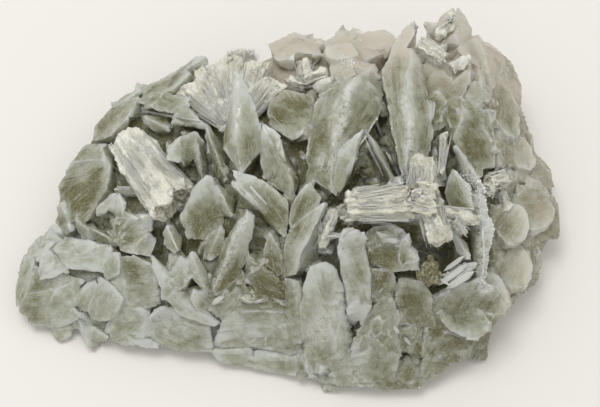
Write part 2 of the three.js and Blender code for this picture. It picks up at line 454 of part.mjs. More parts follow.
/** The lobes, wedges and plates of the lower middle and lower right. */
function lowerRight() {
  return [
    lump(
      [2, -21, 24.6], [4, -20.2, 24.8], [6.1, -21.5, 23.8], [6.8, -23.2, 22.4], [6.9, -28.5, 16.5],
      [6.4, -30.6, 14.3], [6.9, -32.2, 11.2], [9.2, -31.2, 8.5], [8.8, -34.4, 3.8], [2, -33.6, 3.8],
      [0, -29, 10.2], [0.4, -24, 19.2], [4, -22, 10], [5, -28, 2],
    ),
    plate([[7, -15.2, 31.4], [10.8, -19, 29.5], [11.8, -23, 25.5], [11.8, -26.8, 21], [10.7, -28.8, 17.8],
      [8, -26, 20.6], [6.1, -19.5, 28.1]], { thick: 4, root: 17 }),
    ridge([[8.4, -25.6, 20.8], [10.4, -28.4, 18]], [0.9, 1.4], [1, 1.4]),
    plate([[11, -16, 27.2], [13.5, -14.2, 29.6], [17.5, -16.2, 28.7], [19.8, -19.5, 26.6],
      [20.3, -22.3, 24.2],
      [15, -21.8, 24.4], [11.4, -20, 25.4]], { thick: 3, root: 9 }),
    plate([[11.8, -21.2, 24.4], [15.6, -21.6, 24], [16.4, -23.6, 20.2], [12.4, -25.8, 19.8]], { thick: 3 }),
    ridge([[10.4, -29.2, 17.4], [13, -26, 19.4], [15.9, -23.2, 21]], [1.1, 1.8], [1, 2.4], 8),
    lump(
      [11, -28.4, 16.6], [15.5, -24.6, 19.6], [16.8, -27, 17.6], [17.9, -33, 9.2], [16.2, -36, 3.8],
      [14.5, -36.9, 2.6], [10, -35.2, 4.4], [8.7, -34.2, 5], [9.4, -30.5, 12], [13.6, -31, 15],
      [14, -28, 6], [13, -34, 0.6],
    ),
    plate([[6.2, -30.8, 10.4], [9, -31.2, 9.8], [11, -36, 3.4], [6, -35.2, 3]], { thick: 4, root: 6 }),
    plate([[16.4, -22.3, 21.2], [20.7, -22.9, 21.6], [22.8, -25.5, 19.4], [23.7, -28.8, 13.2],
      [21, -27.8, 13.6],
      [17.6, -28.4, 14.2], [16.4, -26, 17.2]], { thick: 4 }),
    plate([[17.5, -28.6, 13.6], [24.4, -30.8, 8.4], [24, -32.2, 6.4],
      [18, -31.6, 9]], { thick: 3, root: 6 }),
    ridge([[19.4, -30.8, 8.2], [21.4, -32.8, 6]], [0.7, 0.8], [0.8, 1], 4),
    plate([[17.6, -32.8, 6.4], [24.4, -31.8, 5], [21, -36.2, 2.6], [15, -36.8, 2.4], [16.6, -34.4, 5.2]],
      { thick: 3, root: 5 }),
    plate([[22.6, -24.6, 18.6], [30.5, -21.8, 19.8], [35, -22.2, 15.4], [33.6, -25, 10.8], [27.6, -32, 4.6],
      [21, -35.8, 2.8], [23, -30.6, 10.2]], { thick: 5 }),
    ridge([[23, -24.6, 18.8], [28, -22.6, 19.8], [34.8, -21.8, 16]], [0.9, 1], [1, 1], 6),
    plate([[33, -22.6, 10.6], [37.6, -20.4, 6], [33.4, -25.4, 3.2], [29.6, -29.6, 2.6], [28, -31.6, 4]],
      { thick: 3, root: 4 }),
    ridge([[12.4, -16.8, 29.4], [16.4, -18.6, 28.8]], [0.8, 1], [0.9, 1.2]),
  ];
}

/** Height and slope of the rock at a place, or nothing where there is no rock below it. */
function groundFinder(lumps) {
  const meshes = lumps.map((solid) => new THREE.Mesh(geometryFrom(solid)));
  const caster = new THREE.Raycaster();
  return (x, y) => {
    caster.set(new THREE.Vector3(x, y, SPECIMEN_SPAN), new THREE.Vector3(0, 0, -1));
    const hits = caster.intersectObjects(meshes);
    return hits.length > 0 ? hits[0] : null;
  };
}

/** Small crystals that grow out of the bare rock in the gaps: each gap has a middle,
a reach and a count. */
function fillers(lumps) {
  const groundAt = groundFinder(lumps);
  const next = seeded(41);
  const gaps = [
    { middle: [-32.5, -7], reach: [3, 3], count: 3 },
    { middle: [-17, -8], reach: [5, 6], count: 4 },
    { middle: [-20, 10.5], reach: [5, 3], count: 2 },
    { middle: [14.6, 0], reach: [1, 5], count: 2 },
    { middle: [19.5, -18.5], reach: [4, 3], count: 3 },
    { middle: [37, 2.6], reach: [2.4, 2], count: 2 },
  ];
  return gaps.flatMap(({ middle, reach, count }) => Array.from({ length: count }, () => {
    const x = middle[0] + (2 * next() - 1) * reach[0];
    const y = middle[1] + (2 * next() - 1) * reach[1];
    const length = FILLER_LENGTH[0] + next() * (FILLER_LENGTH[1] - FILLER_LENGTH[0]);
    const lean = new THREE.Vector3(next() - 0.5, next() - 0.5, 0.9);
    const turn = FILLER_STRIKE + (next() - 0.5) * 1.2;
    const ground = groundAt(x, y);
    lean.addScaledVector(ground.face.normal, 0.7).normalize();
    const foot = ground.point.clone().addScaledVector(lean, -length * FILLER_BURIED);
    const tip = foot.clone().addScaledVector(lean, length);
    return leaf(foot, tip, length * FILLER_WIDTH, length * FILLER_THICKNESS, turn);
  }));
}

/** Leaning blades round the far side, where the crystals grow out from the rock instead of up. */
function farBlades(lumps) {
  const meshes = lumps.map((solid) => new THREE.Mesh(geometryFrom(solid)));
  const caster = new THREE.Raycaster();
  const next = seeded(7);
  return FAR_ROWS.flatMap(({ height, count, size }) => Array.from({ length: count }, (_, i) => {
    const share = (i + 0.25 + 0.5 * next()) / count;
    const bearing = FAR_ARC[0] + share * (FAR_ARC[1] - FAR_ARC[0]);
    const outward = new THREE.Vector3(Math.cos(bearing), Math.sin(bearing), 0);
    const level = new THREE.Vector3(0, 0, height + (next() - 0.5) * 3);
    caster.set(level.clone().addScaledVector(outward, SPECIMEN_SPAN), outward.clone().negate());
    const wall = caster.intersectObjects(meshes)[0].point;
    const lean = outward.clone().multiplyScalar(0.62 + 0.3 * next()).addScaledVector(UP, 0.75).normalize();
    const length = size * (0.85 + 0.3 * next());
    const foot = wall.clone().addScaledVector(lean, -length * FAR_BURIED).addScaledVector(UP, -FAR_DROP);
    const tip = foot.clone().addScaledVector(lean, length);
    const turn = bearing + Math.PI / 2 + (next() - 0.5) * 1.5;
    return leaf(foot, tip, length * FAR_WIDTH, length * FAR_THICKNESS, turn);
  }));
}

/** The turn and shift that lay a shape built along Z from a start towards an end, its Y side up. */
function alongLine(start, end) {
  const along = end.clone().sub(start).normalize();
  const across = new THREE.Vector3().crossVectors(UP, along);
  if (across.length() < 0.1) {
    across.set(1, 0, 0);
  }
  across.normalize();
  const over = new THREE.Vector3().crossVectors(along, across);
  return new THREE.Matrix4().makeBasis(across, over, along).setPosition(start);
}

/**
 * A sheaf of fibres from one end to the other: a fluted prism with ragged ends.
 * Radius is the sheaf's own at each end and flat squeezes it in height.
 */
function sheaf({ from, to, radius, flutes = 6, flat = 1, seed = 1 }) {
  const next = seeded(seed);
  const outline = new THREE.Shape();
  for (let i = 0; i < flutes * 2; i += 1) {
    const angle = (i / (flutes * 2)) * Math.PI * 2;
    const reach = i % 2 === 0 ? 1 - FLUTE_UNEVEN[0] * next() : FLUTE_DEPTH + FLUTE_UNEVEN[1] * next();
    outline[i === 0 ? 'moveTo' : 'lineTo'](Math.cos(angle) * reach, Math.sin(angle) * reach * flat);
  }
  outline.closePath();
  const start = point(from);
  const end = point(to);
  const length = start.distanceTo(end);
  const rags = Array.from({ length: flutes * 2 }, () => [next() - 0.5, next() - 0.5]);
  const geometry = new THREE.ExtrudeGeometry(outline, { depth: 1, steps: 1, bevelEnabled: false });
  const places = geometry.attributes.position;
  for (let i = 0; i < places.count; i += 1) {
    const far = places.getZ(i) > 0.5 ? 1 : 0;
    const angle = Math.atan2(places.getY(i) / flat, places.getX(i));
    const corner = (Math.round((angle / (Math.PI * 2)) * flutes * 2) + flutes * 2) % (flutes * 2);
    const rag = rags[corner][far] * radius[far] * END_RAG;
    places.setXYZ(i, places.getX(i) * radius[far], places.getY(i) * radius[far], far * length + rag);
  }
  geometry.applyMatrix4(alongLine(start, end));
  return solidFrom(geometry);
}

/** The seat of a sheaf: the hull of its ends, each wider than the sheaf by the gap. */
function seat({ from, to, radius, flat = 1 }) {
  const start = point(from);
  const end = point(to);
  const turn = alongLine(start, end);
  const length = start.distanceTo(end);
  const points = [];
  for (let i = 0; i < SEAT_SIDES; i += 1) {
    const angle = ((i + 0.5) / SEAT_SIDES) * Math.PI * 2;
    [0, 1].forEach((far) => {
      const reach = radius[far] / Math.cos(Math.PI / SEAT_SIDES) + SEAT_GAP;
      const beyond = radius[far] * END_RAG * 0.5 + SEAT_GAP;
      points.push(new THREE.Vector3(
        Math.cos(angle) * reach,
        Math.sin(angle) * (reach - SEAT_GAP) * flat + Math.sin(angle) * SEAT_GAP,
        far === 1 ? length + beyond : -beyond,
      ).applyMatrix4(turn));
    });
  }
  return hull(points);
}

/** The sheaves of each strontianite piece; those that have grown together are one piece. */
const SHEAVES = {
  strontianite_fan: [
    { from: [-11.4, 4.2, 23.4], to: [-20.6, 15.8, 16.6], radius: [1.4, 3], flutes: 5, flat: 0.7, seed: 3 },
    { from: [-11.4, 4.8, 24], to: [-17, 19.8, 17.6], radius: [1.5, 3.2], flutes: 5, flat: 0.7, seed: 4 },
    { from: [-11, 5.4, 24.2], to: [-12, 20.4, 19.6], radius: [1.6, 3.2], flutes: 5, flat: 0.7, seed: 5 },
    { from: [-10.4, 5.8, 24.4], to: [-7.8, 18.2, 21.4], radius: [1.6, 3.3], flutes: 5, flat: 0.7, seed: 6 },
    { from: [-9.8, 5.6, 24.6], to: [-4.8, 13.2, 24.2], radius: [1.3, 3.3], flutes: 5, flat: 0.7, seed: 7 },
    { from: [-11, 17, 19.8], to: [-10.6, 22.6, 18.6], radius: [2.6, 3.2], flutes: 5, flat: 0.6, seed: 8 },
  ],
  strontianite_left_sheaf: [
    { from: [-31.9, 6.4, 15.6], to: [-21.8, -7.9, 18.2], radius: [3.9, 5.2], flutes: 9, flat: 0.8,
      seed: 11 },
  ],
  strontianite_left_stub: [
    { from: [-33.4, -3.1, 14.4], to: [-28.4, -3.7, 14.6], radius: [0.8, 0.9], flutes: 3, seed: 21 },
  ],
  strontianite_top_knobs: [
    { from: [1.2, 13.4, 22.8], to: [-2.4, 14, 23.2], radius: [1.2, 1.5], flutes: 5, seed: 31 },
    { from: [1, 13.4, 22.6], to: [0.8, 19, 22], radius: [1.3, 1.7], flutes: 5, seed: 32 },
    { from: [0.8, 14, 23], to: [5, 15.4, 23.6], radius: [1.3, 1.6], flutes: 5, seed: 33 },
  ],
  strontianite_small_nub: [
    { from: [5.8, 17.2, 25.8], to: [8, 18.8, 26.6], radius: [0.9, 1.1], flutes: 4, seed: 41 },
  ],
  strontianite_upper_arm: [
    { from: [20.4, 17.8, 31.2], to: [25.6, 15, 30], radius: [1.8, 1.5], flutes: 5, seed: 51 },
    { from: [24, 15.8, 30.2], to: [25.8, 18, 30.6], radius: [0.7, 0.5], flutes: 3, seed: 52 },
  ],
  strontianite_arm_fragment: [
    { from: [26.4, 13.4, 29.1], to: [29.4, 15.8, 28.9], radius: [1.1, 1.1], flutes: 4, seed: 61 },
  ],
  strontianite_crest_crust: [
    { from: [26.6, 24.8, 29.2], to: [27, 22.4, 29.4], radius: [0.7, 0.7], flutes: 3, seed: 71 },
    { from: [27, 22.8, 29.2], to: [23.8, 21, 27.2], radius: [0.8, 0.9], flutes: 3, seed: 72 },
  ],
  strontianite_main_sheaf: [
    { from: [7.6, -12.9, 30.4], to: [19, -12.3, 31], radius: [2.9, 3.6], flutes: 8, seed: 81 },
    { from: [8.6, -10.6, 31.2], to: [14, -10.8, 32], radius: [1, 1.4], flutes: 4, seed: 82 },
    { from: [18.6, -11.5, 31.4], to: [22.6, -12.5, 31.4], radius: [4, 3.6], flutes: 7, seed: 83 },
    { from: [20, -10.7, 31.4], to: [20.6, -5, 33], radius: [2.6, 2.3], flutes: 5, seed: 84 },
    { from: [21.4, -12.7, 30.8], to: [23.4, -18.4, 28.2], radius: [2.6, 2.6], flutes: 5, seed: 85 },
    { from: [22.4, -13.4, 30.4], to: [30.4, -13.7, 26], radius: [1.4, 1.1], flutes: 4, seed: 86 },
    { from: [25.4, -14.8, 29.4], to: [28, -16.6, 27], radius: [0.9, 0.7], flutes: 3, seed: 87 },
  ],
  strontianite_pale_blade: [
    { from: [6, -12.3, 28.4], to: [3.4, -17.6, 24], radius: [1.3, 1.2], flutes: 4, flat: 0.6, seed: 91 },
  ],
  strontianite_upright_blade: [
    { from: [23.9, -6.4, 28], to: [25, 1.8, 28.2], radius: [0.7, 0.9], flutes: 3, seed: 101 },
  ],
  strontianite_right_sheaf: [
    { from: [32.6, -5, 22.4], to: [36.4, -3.8, 20.6], radius: [1.7, 2.2], flutes: 5, seed: 111 },
    { from: [35, -5, 20.6], to: [36.8, -8.2, 17.6], radius: [1, 0.8], flutes: 3, seed: 112 },
    { from: [34, -5, 21.6], to: [32.2, -7.4, 21.4], radius: [0.9, 0.7], flutes: 3, seed: 113 },
  ],
};

/** The brown nodule: a rough rounded lump, wider by grow for its seat. */
function noduleSolid(grow = 0) {
  const shape = new THREE.IcosahedronGeometry(NODULE_RADIUS + grow, 1);
  const places = shape.attributes.position;
  const stretch = point(NODULE_PROPORTIONS);
  const v = new THREE.Vector3();
  const points = [];
  for (let i = 0; i < places.count; i += 1) {
    v.fromBufferAttribute(places, i);
    const wide = NODULE_SWELL[0] * Math.sin(3.1 * v.x + 1.3) * Math.cos(2.7 * v.y);
    const fine = NODULE_SWELL[1] * Math.sin(4.3 * v.z);
    points.push(v.clone().multiply(stretch).multiplyScalar(1 + wide + fine));
  }
  return hull(points).translate(NODULE_PLACE);
}

/** Everything that is calcite, joined, cut flat at the base and seated for what grows on it. */
function calciteSolid(seats) {
  const lumps = matrixLumps();
  const rock = fuse([...lumps, ...fillers(lumps), ...farBlades(lumps)]).subtract(fuse(hollows()));
  const crystals = fuse([
    ...leftLedge(), ...frontLedge(), ...leftRim(), ...middleLeft(), ...middleRight(), ...farCrest(),
    ...rightRim(), ...lowerRight(),
  ]);
  const below = new THREE.BoxGeometry(SPECIMEN_SPAN, SPECIMEN_SPAN, SPECIMEN_SPAN);
  below.translate(0, 0, BASE_LEVEL - SPECIMEN_SPAN / 2);
  return rock.add(crystals).subtract(solidFrom(below)).subtract(seats);
}

/** Keeps the largest body of a solid, and drops crumbs that a cut has freed. */
function largestBody(solid) {
  const bodies = solid.decompose();
  bodies.sort((a, b) => b.volume() - a.volume());
  return bodies[0];
}

const calciteFinish = new THREE.MeshStandardMaterial({ color: 0x9a9c8e, roughness: 0.45, metalness: 0 });
const strontianiteFinish = new THREE.MeshStandardMaterial({ color: 0xd6d3c8, roughness: 0.7,
metalness: 0 });
const noduleFinish = new THREE.MeshStandardMaterial({ color: 0x96875f, roughness: 0.85, metalness: 0 });

function namedMesh(name, solid, finish) {
  const mesh = new THREE.Mesh(geometryFrom(largestBody(solid.simplify(FINEST_EDGE))), finish);
  mesh.name = name;
  return mesh;
}

const specimen = new THREE.Group();
const seats = [noduleSolid(SEAT_GAP)];
Object.entries(SHEAVES).forEach(([name, parts]) => {
  const body = fuse(parts.map((part) => sheaf(part))).subtract(fuse(seats));
  specimen.add(namedMesh(name, body, strontianiteFinish));
  seats.push(fuse(parts.map(seat)));
});
specimen.add(namedMesh('brown_nodule', noduleSolid(), noduleFinish));
specimen.add(namedMesh('calcite', calciteSolid(fuse(seats)), calciteFinish));

// The origin is the middle of the specimen's box, on the surface it rests on.
const box = new THREE.Box3().setFromObject(specimen);
const centre = box.getCenter(new THREE.Vector3());
specimen.position.set(-centre.x, -centre.y, -box.min.z);

export default specimen;
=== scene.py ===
"""Sheaves of strontianite needles on a bed of bladed calcite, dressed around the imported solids."""

import logging
import math
from collections.abc import Iterable
from dataclasses import dataclass
from enum import Enum

import bmesh
import bpy
import numpy as np
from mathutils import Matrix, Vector
from mathutils.bvhtree import BVHTree
from mathutils.kdtree import KDTree


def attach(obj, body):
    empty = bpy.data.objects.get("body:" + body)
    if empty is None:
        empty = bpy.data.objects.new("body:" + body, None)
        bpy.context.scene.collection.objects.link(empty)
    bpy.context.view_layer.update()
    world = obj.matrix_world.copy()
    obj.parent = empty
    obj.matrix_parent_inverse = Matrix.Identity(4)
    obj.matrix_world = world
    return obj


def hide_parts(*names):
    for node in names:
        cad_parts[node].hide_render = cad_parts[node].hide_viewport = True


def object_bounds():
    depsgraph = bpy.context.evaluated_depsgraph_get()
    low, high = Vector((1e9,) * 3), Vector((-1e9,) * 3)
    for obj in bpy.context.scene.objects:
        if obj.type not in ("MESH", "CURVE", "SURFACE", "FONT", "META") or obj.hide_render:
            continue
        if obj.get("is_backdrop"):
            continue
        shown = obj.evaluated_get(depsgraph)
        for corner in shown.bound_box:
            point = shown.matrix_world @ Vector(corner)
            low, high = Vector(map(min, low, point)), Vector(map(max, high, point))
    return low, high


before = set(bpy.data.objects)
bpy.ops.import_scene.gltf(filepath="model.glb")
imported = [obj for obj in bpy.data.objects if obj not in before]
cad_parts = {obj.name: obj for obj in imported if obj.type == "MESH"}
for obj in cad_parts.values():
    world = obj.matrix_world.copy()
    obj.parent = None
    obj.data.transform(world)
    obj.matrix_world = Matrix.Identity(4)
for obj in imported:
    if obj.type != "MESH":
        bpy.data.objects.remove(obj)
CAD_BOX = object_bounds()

LOG = logging.getLogger("specimen")
MM = 0.001
BODY = "root"
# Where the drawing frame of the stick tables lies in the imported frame, in millimetres.
DRAWING_ORIGIN = np.array((2.1, 4.4985, 0.0))
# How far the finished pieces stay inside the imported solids' box, in millimetres.
BOX_MARGIN = 0.02
# The width of one fibre in the needles' pattern, in millimetres.
FIBRE = 0.34

Triple = tuple[float, float, float]
Pair = tuple[float, float]
Socket = bpy.types.NodeSocket
# Where a plate starts, the ways that it faces and points, and its half sizes.
Spot = tuple[np.ndarray, np.ndarray, np.ndarray, np.ndarray]


class Slot(Enum):
    """The material slots of the record."""

    CALCITE = "calcite"
    STRONTIANITE = "strontianite"
    NODULE = "nodule"


class Node(Enum):
    """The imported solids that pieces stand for."""

    CALCITE = "calcite"
    FAN = "strontianite_fan"
    LEFT_SHEAF = "strontianite_left_sheaf"
    LEFT_STUB = "strontianite_left_stub"
    TOP_KNOBS = "strontianite_top_knobs"
    SMALL_NUB = "strontianite_small_nub"
    UPPER_ARM = "strontianite_upper_arm"
    ARM_FRAGMENT = "strontianite_arm_fragment"
    CREST_CRUST = "strontianite_crest_crust"
    MAIN_SHEAF = "strontianite_main_sheaf"
    PALE_BLADE = "strontianite_pale_blade"
    UPRIGHT_BLADE = "strontianite_upright_blade"
    RIGHT_SHEAF = "strontianite_right_sheaf"
    NODULE = "brown_nodule"


# Node trees

class Recipe:
    """A node tree with short ways to add nodes and to join them."""

    def __init__(self, tree: bpy.types.NodeTree) -> None:
        """Keeps the tree to fill."""
        self.tree = tree

    def fill(self, node: bpy.types.Node, inputs: dict) -> bpy.types.Node:
        """Sets inputs of a node.

        Args:
            node: the node.
            inputs: a value or an output socket for each input, by name or by place.

        Returns:
            The same node.
        """
        for key, value in inputs.items():
            if isinstance(key, int):
                socket = node.inputs[key]
            else:
                socket = next(s for s in node.inputs if s.name == key and s.enabled)
            if isinstance(value, Socket):
                self.tree.links.new(value, socket)
            else:
                socket.default_value = value
        return node

    def add(self, kind: str, inputs: dict | None = None, **settings: object) -> bpy.types.Node:
        """Adds a node.

        Args:
            kind: the node's type name.
            inputs: a value or an output socket for each input.
            settings: the node's own properties.

        Returns:
            The new node.
        """
        node = self.tree.nodes.new(kind)
        for key, value in settings.items():
            setattr(node, key, value)
        return self.fill(node, inputs or {})

    def math(self, operation: str, *values: object, clamp: bool = False) -> Socket:
        """Returns a sum on one to three numbers or sockets, kept from 0 to 1 with clamp."""
        inputs = dict(enumerate(values))
        return self.add("ShaderNodeMath", inputs, operation=operation, use_clamp=clamp).outputs[0]

    def vector(self, operation: str, *values: object, scale: object = None) -> Socket:
        """Returns a sum on one or two vectors or sockets.

        Args:
            operation: the kind of sum.
            values: the vectors.
            scale: the number that a SCALE takes.

        Returns:
            The result.
        """
        inputs = dict(enumerate(values)) | ({} if scale is None else {"Scale": scale})
        node = self.add("ShaderNodeVectorMath", inputs, operation=operation)
        return node.outputs["Value" if operation == "LENGTH" else "Vector"]

    def ramp(self, value: object, low: float, high: float, start: float = 0.0, end: float = 1.0) -> Socket:
        """Maps a range of a number smoothly to another.

        Args:
            value: the number.
            low: where the range starts.
            high: where it ends.
            start: the result at low.
            end: the result at high.

        Returns:
            The result.
        """
        inputs = {"Value": value, "From Min": low, "From Max": high, "To Min": start, "To Max": end}
        node = self.add("ShaderNodeMapRange", inputs, interpolation_type="SMOOTHSTEP")
        return node.outputs["Result"]

    def sway(self, pattern: Socket, weight: float, level: object) -> Socket:
        """Adds a pattern, times a weight, to a level that it leaves alone at its middle.

        Args:
            pattern: the pattern, from 0 to 1.
            weight: how strong it is.
            level: what it is added to.

        Returns:
            The sum.
        """
        return self.math("MULTIPLY_ADD", self.math("SUBTRACT", pattern, 0.5), weight, level)

    def mix(self, factor: object, first: object, second: object) -> Socket:
        """Returns a mix of two colours, with this factor of the second."""
        inputs = {0: factor, 6: first, 7: second}
        return self.add("ShaderNodeMix", inputs, data_type="RGBA").outputs[2]

    def noise(self, where: object, size: float, detail: float = 3.0, rough: float = 0.55) -> Socket:
        """Adds a cloudy pattern.

        Args:
            where: the coordinates.
            size: how far apart its clouds are, in the coordinates' own unit.
            detail: how many finer layers it has.
            rough: how strong those are.

        Returns:
            The pattern, from 0 to 1.
        """
        inputs = {"Vector": where, "Scale": 1.0 / size, "Detail": detail, "Roughness": rough}
        return self.add("ShaderNodeTexNoise", inputs).outputs[0]

    def painted(self, name: str, output: str = "Fac") -> Socket:
        """Returns what is painted on the mesh under a name."""
        return self.add("ShaderNodeAttribute", attribute_name=name).outputs[output]

    def place(self) -> Socket:
        """Returns the place on the object, in metres."""
        return self.add("ShaderNodeTexCoord").outputs["Object"]

    def bump(self, height: Socket, strength: float, distance: float) -> Socket:
        """Returns a normal that is bent by a height.

        Args:
            height: the height.
            strength: how strong it is.
            distance: how far a height of 1 stands out, in metres.

        Returns:
            The normal.
        """
        inputs = {"Strength": strength, "Distance": distance, "Height": height}
        return self.add("ShaderNodeBump", inputs).outputs["Normal"]


def linear(colour: Triple) -> tuple[float, float, float, float]:
    """Turns an 8-bit screen colour into the linear one that a shader takes.

    Args:
        colour: red, green and blue from 0 to 255.

    Returns:
        The linear colour, with alpha 1.
    """
    shares = [level / 255 for level in colour]
    return *(x / 12.92 if x <= 0.04045 else ((x + 0.055) / 1.055) ** 2.4 for x in shares), 1.0


def fresh_material(name: str) -> tuple[bpy.types.Material, Recipe, bpy.types.Node]:
    """Makes an empty material.

    Args:
        name: its name.

    Returns:
        The material, its recipe and its shader.
    """
    material = bpy.data.materials.new(name)
    material.use_nodes = True
    return material, Recipe(material.node_tree), material.node_tree.nodes["Principled BSDF"]


# Finishes

@dataclass(frozen=True)
class CalciteFinish:
    """Waxy grey-green calcite, with painted light: pale where thin, olive where thick, painted brown shade in
    the hollows and painted highlights at the edges.
    """

    name: str = "calcite_waxy"
    thin: Triple = (231, 234, 225)
    middle: Triple = (189, 190, 168)
    thick: Triple = (123, 119, 68)
    hollow_shade: Triple = (104, 92, 54)
    frost: Triple = (246, 246, 240)
    beige: Triple = (238, 227, 210)
    glow: float = 1.0
    glow_depth: float = 0.0009
    glow_spread: Triple = (1.0, 0.97, 0.9)
    roughness: float = 0.2
    clear: float = 0.42
    bending: float = 1.55
    cloud_size: float = 0.0042
    patch_size: float = 0.0014
    crust_size: float = 0.0009
    speck_size: float = 0.00022
    band_stretch: Triple = (0.3, 0.6, 1.0)
    # The width in millimetres over which the painted pale lit margin and the painted white highlight thread
    # of an edge fade out.
    lit_margin: Pair = (0.1, 2.2)
    highlight_thread: Pair = (0.08, 0.34)
    # The levels between which the painted light through the body goes from thin to middle and from middle to
    # thick.
    to_middle: Pair = (-0.4, 0.4)
    to_thick: Pair = (0.25, 1.05)

    def build(self) -> bpy.types.Material:
        """Makes the material.

        Returns:
            The material.
        """
        material, recipe, shader = fresh_material(self.name)
        where = recipe.place()
        grain = recipe.painted("grain", "Vector")
        edge = recipe.painted("edge")
        cloud = recipe.noise(where, self.cloud_size, 4.0, 0.6)
        patch = recipe.noise(where, self.patch_size, 3.0, 0.6)
        speck = recipe.noise(where, self.speck_size, 2.0, 0.7)
        line = recipe.noise(grain, 1.0, 3.0, 0.6)
        band = recipe.noise(recipe.vector("MULTIPLY", grain, self.band_stretch), 1.0, 4.0, 0.65)
        # Painted light at the edges: a pale lit margin and a white highlight thread, fading with the distance
        # from a sharp edge.
        lit_margin = recipe.ramp(recipe.sway(patch, 1.6, edge), *self.lit_margin, 1.0, 0.0)
        highlight_thread = recipe.ramp(recipe.sway(speck, 0.5, edge), *self.highlight_thread, 1.0, 0.0)

        # Painted light and shade: deeper through the body, lower than the crystals around and further down a
        # face is darker and more olive, the lit margin by an edge is paler; clouds, patches, tone and bands
        # vary it at random.
        level = recipe.math("MULTIPLY", recipe.painted("depth"), 0.8)
        for pattern, weight in (
            (cloud, 1.1), (patch, 0.8), (recipe.painted("tone"), 0.35), (band, 1.1),
            (recipe.painted("relief"), -0.7), (recipe.painted("tip_light"), -0.5), (lit_margin, -0.4),
        ):
            level = recipe.sway(pattern, weight, level)
        level = recipe.math("MULTIPLY_ADD", recipe.painted("haze"), -0.5, level)
        thin, frost = linear(self.thin), linear(self.frost)
        body = recipe.mix(recipe.ramp(level, *self.to_middle), thin, linear(self.middle))
        body = recipe.mix(recipe.ramp(level, *self.to_thick), body, linear(self.thick))
        warm = recipe.math("MULTIPLY", recipe.painted("beige"), recipe.ramp(cloud, 0.25, 0.55))
        body = recipe.mix(recipe.math("MULTIPLY", warm, 0.8), body, linear(self.beige))
        # Painted shade: brown is mixed in where the skin sees little sky.
        shade = recipe.ramp(recipe.painted("open"), 0.0, 0.25, 1.0, 0.0)
        body = recipe.mix(recipe.math("MULTIPLY", shade, 0.35), body, linear(self.hollow_shade))
        cloudy = recipe.ramp(cloud, 0.38, 0.62, 0.05, 0.5)
        vein = recipe.math("MULTIPLY", recipe.ramp(line, 0.5, 0.72), cloudy)
        body = recipe.mix(vein, body, thin)
        # White specks, partly dust and partly painted glints.
        dust_and_glints = recipe.math("MULTIPLY", recipe.ramp(speck, 0.6, 0.68), 0.7)
        highlight_streak = recipe.math("MULTIPLY", highlight_thread, recipe.ramp(patch, 0.34, 0.56))
        # White frost crust; along the thin crest strokes it is a painted highlight.
        rime = recipe.ramp(recipe.noise(where, self.crust_size, 4.0, 0.7), 0.34, 0.56)
        crust = recipe.math("MULTIPLY", recipe.painted("frost"), rime)
        for white in (dust_and_glints, recipe.math("MULTIPLY", highlight_streak, 0.85), crust):
            body = recipe.mix(white, body, frost)

        rough = recipe.sway(patch, 0.35, self.roughness)
        height = recipe.math("MULTIPLY_ADD", line, 0.6, recipe.math("MULTIPLY", speck, 0.22))
        recipe.fill(shader, {
            "Base Color": body,
            "Roughness": recipe.math("MULTIPLY_ADD", crust, 0.25, rough, clamp=True),
            "Subsurface Weight": self.glow,
            "Subsurface Scale": self.glow_depth,
            "Subsurface Radius": self.glow_spread,
            "Specular IOR Level": 0.5,
            "Transmission Weight": self.clear,
            "IOR": self.bending,
            "Normal": recipe.bump(height, 0.6, 0.0002),
        })
        return material


@dataclass(frozen=True)
class NeedleFinish:
    """Dull cream-white strontianite with fine fibres and painted shade in the inner grooves."""

    name: str = "strontianite_fibrous"
    light: Triple = (229, 227, 215)
    shade: Triple = (200, 197, 180)
    groove_shade_and_pits: Triple = (172, 164, 140)
    glow: float = 0.8
    glow_depth: float = 0.0006
    glow_spread: Triple = (1.0, 0.95, 0.8)
    roughness: float = 0.62
    cloud_size: float = 0.0021
    pore_size: float = 0.0003

    def build(self) -> bpy.types.Material:
        """Makes the material.

        Returns:
            The material.
        """
        material, recipe, shader = fresh_material(self.name)
        where = recipe.place()
        fibre = recipe.noise(recipe.painted("grain", "Vector"), 1.0, 3.0, 0.65)
        cloud = recipe.noise(where, self.cloud_size, 3.0, 0.6)
        pore = recipe.noise(where, self.pore_size, 2.0, 0.7)
        level = recipe.sway(fibre, 0.4, recipe.math("MULTIPLY", recipe.painted("tone"), 0.5))
        level = recipe.sway(pore, -1.3, recipe.math("MULTIPLY_ADD", cloud, 0.6, level))
        body = recipe.mix(recipe.ramp(level, 0.2, 0.8), linear(self.shade), linear(self.light))
        # Painted shade: needles deep in a bundle, which see little light, go towards the groove colour, as do
        # the real pits.
        inner_shade = recipe.ramp(recipe.painted("open"), 0.1, 0.4, 1.0, 0.0)
        dark = recipe.math("MULTIPLY", inner_shade, recipe.ramp(fibre, 0.35, 0.6, 1.0, 0.2))
        pits = recipe.math("MULTIPLY", recipe.ramp(pore, 0.66, 0.76), 0.6)
        dark = recipe.math("MULTIPLY", recipe.math("MAXIMUM", dark, pits), 0.5)
        relief = recipe.math("ADD", fibre, recipe.math("MULTIPLY", pore, -1.0))
        recipe.fill(shader, {
            "Base Color": recipe.mix(dark, body, linear(self.groove_shade_and_pits)),
            "Roughness": self.roughness,
            "Subsurface Weight": self.glow,
            "Subsurface Scale": self.glow_depth,
            "Subsurface Radius": self.glow_spread,
            "Normal": recipe.bump(relief, 0.8, 0.0002),
        })
        return material


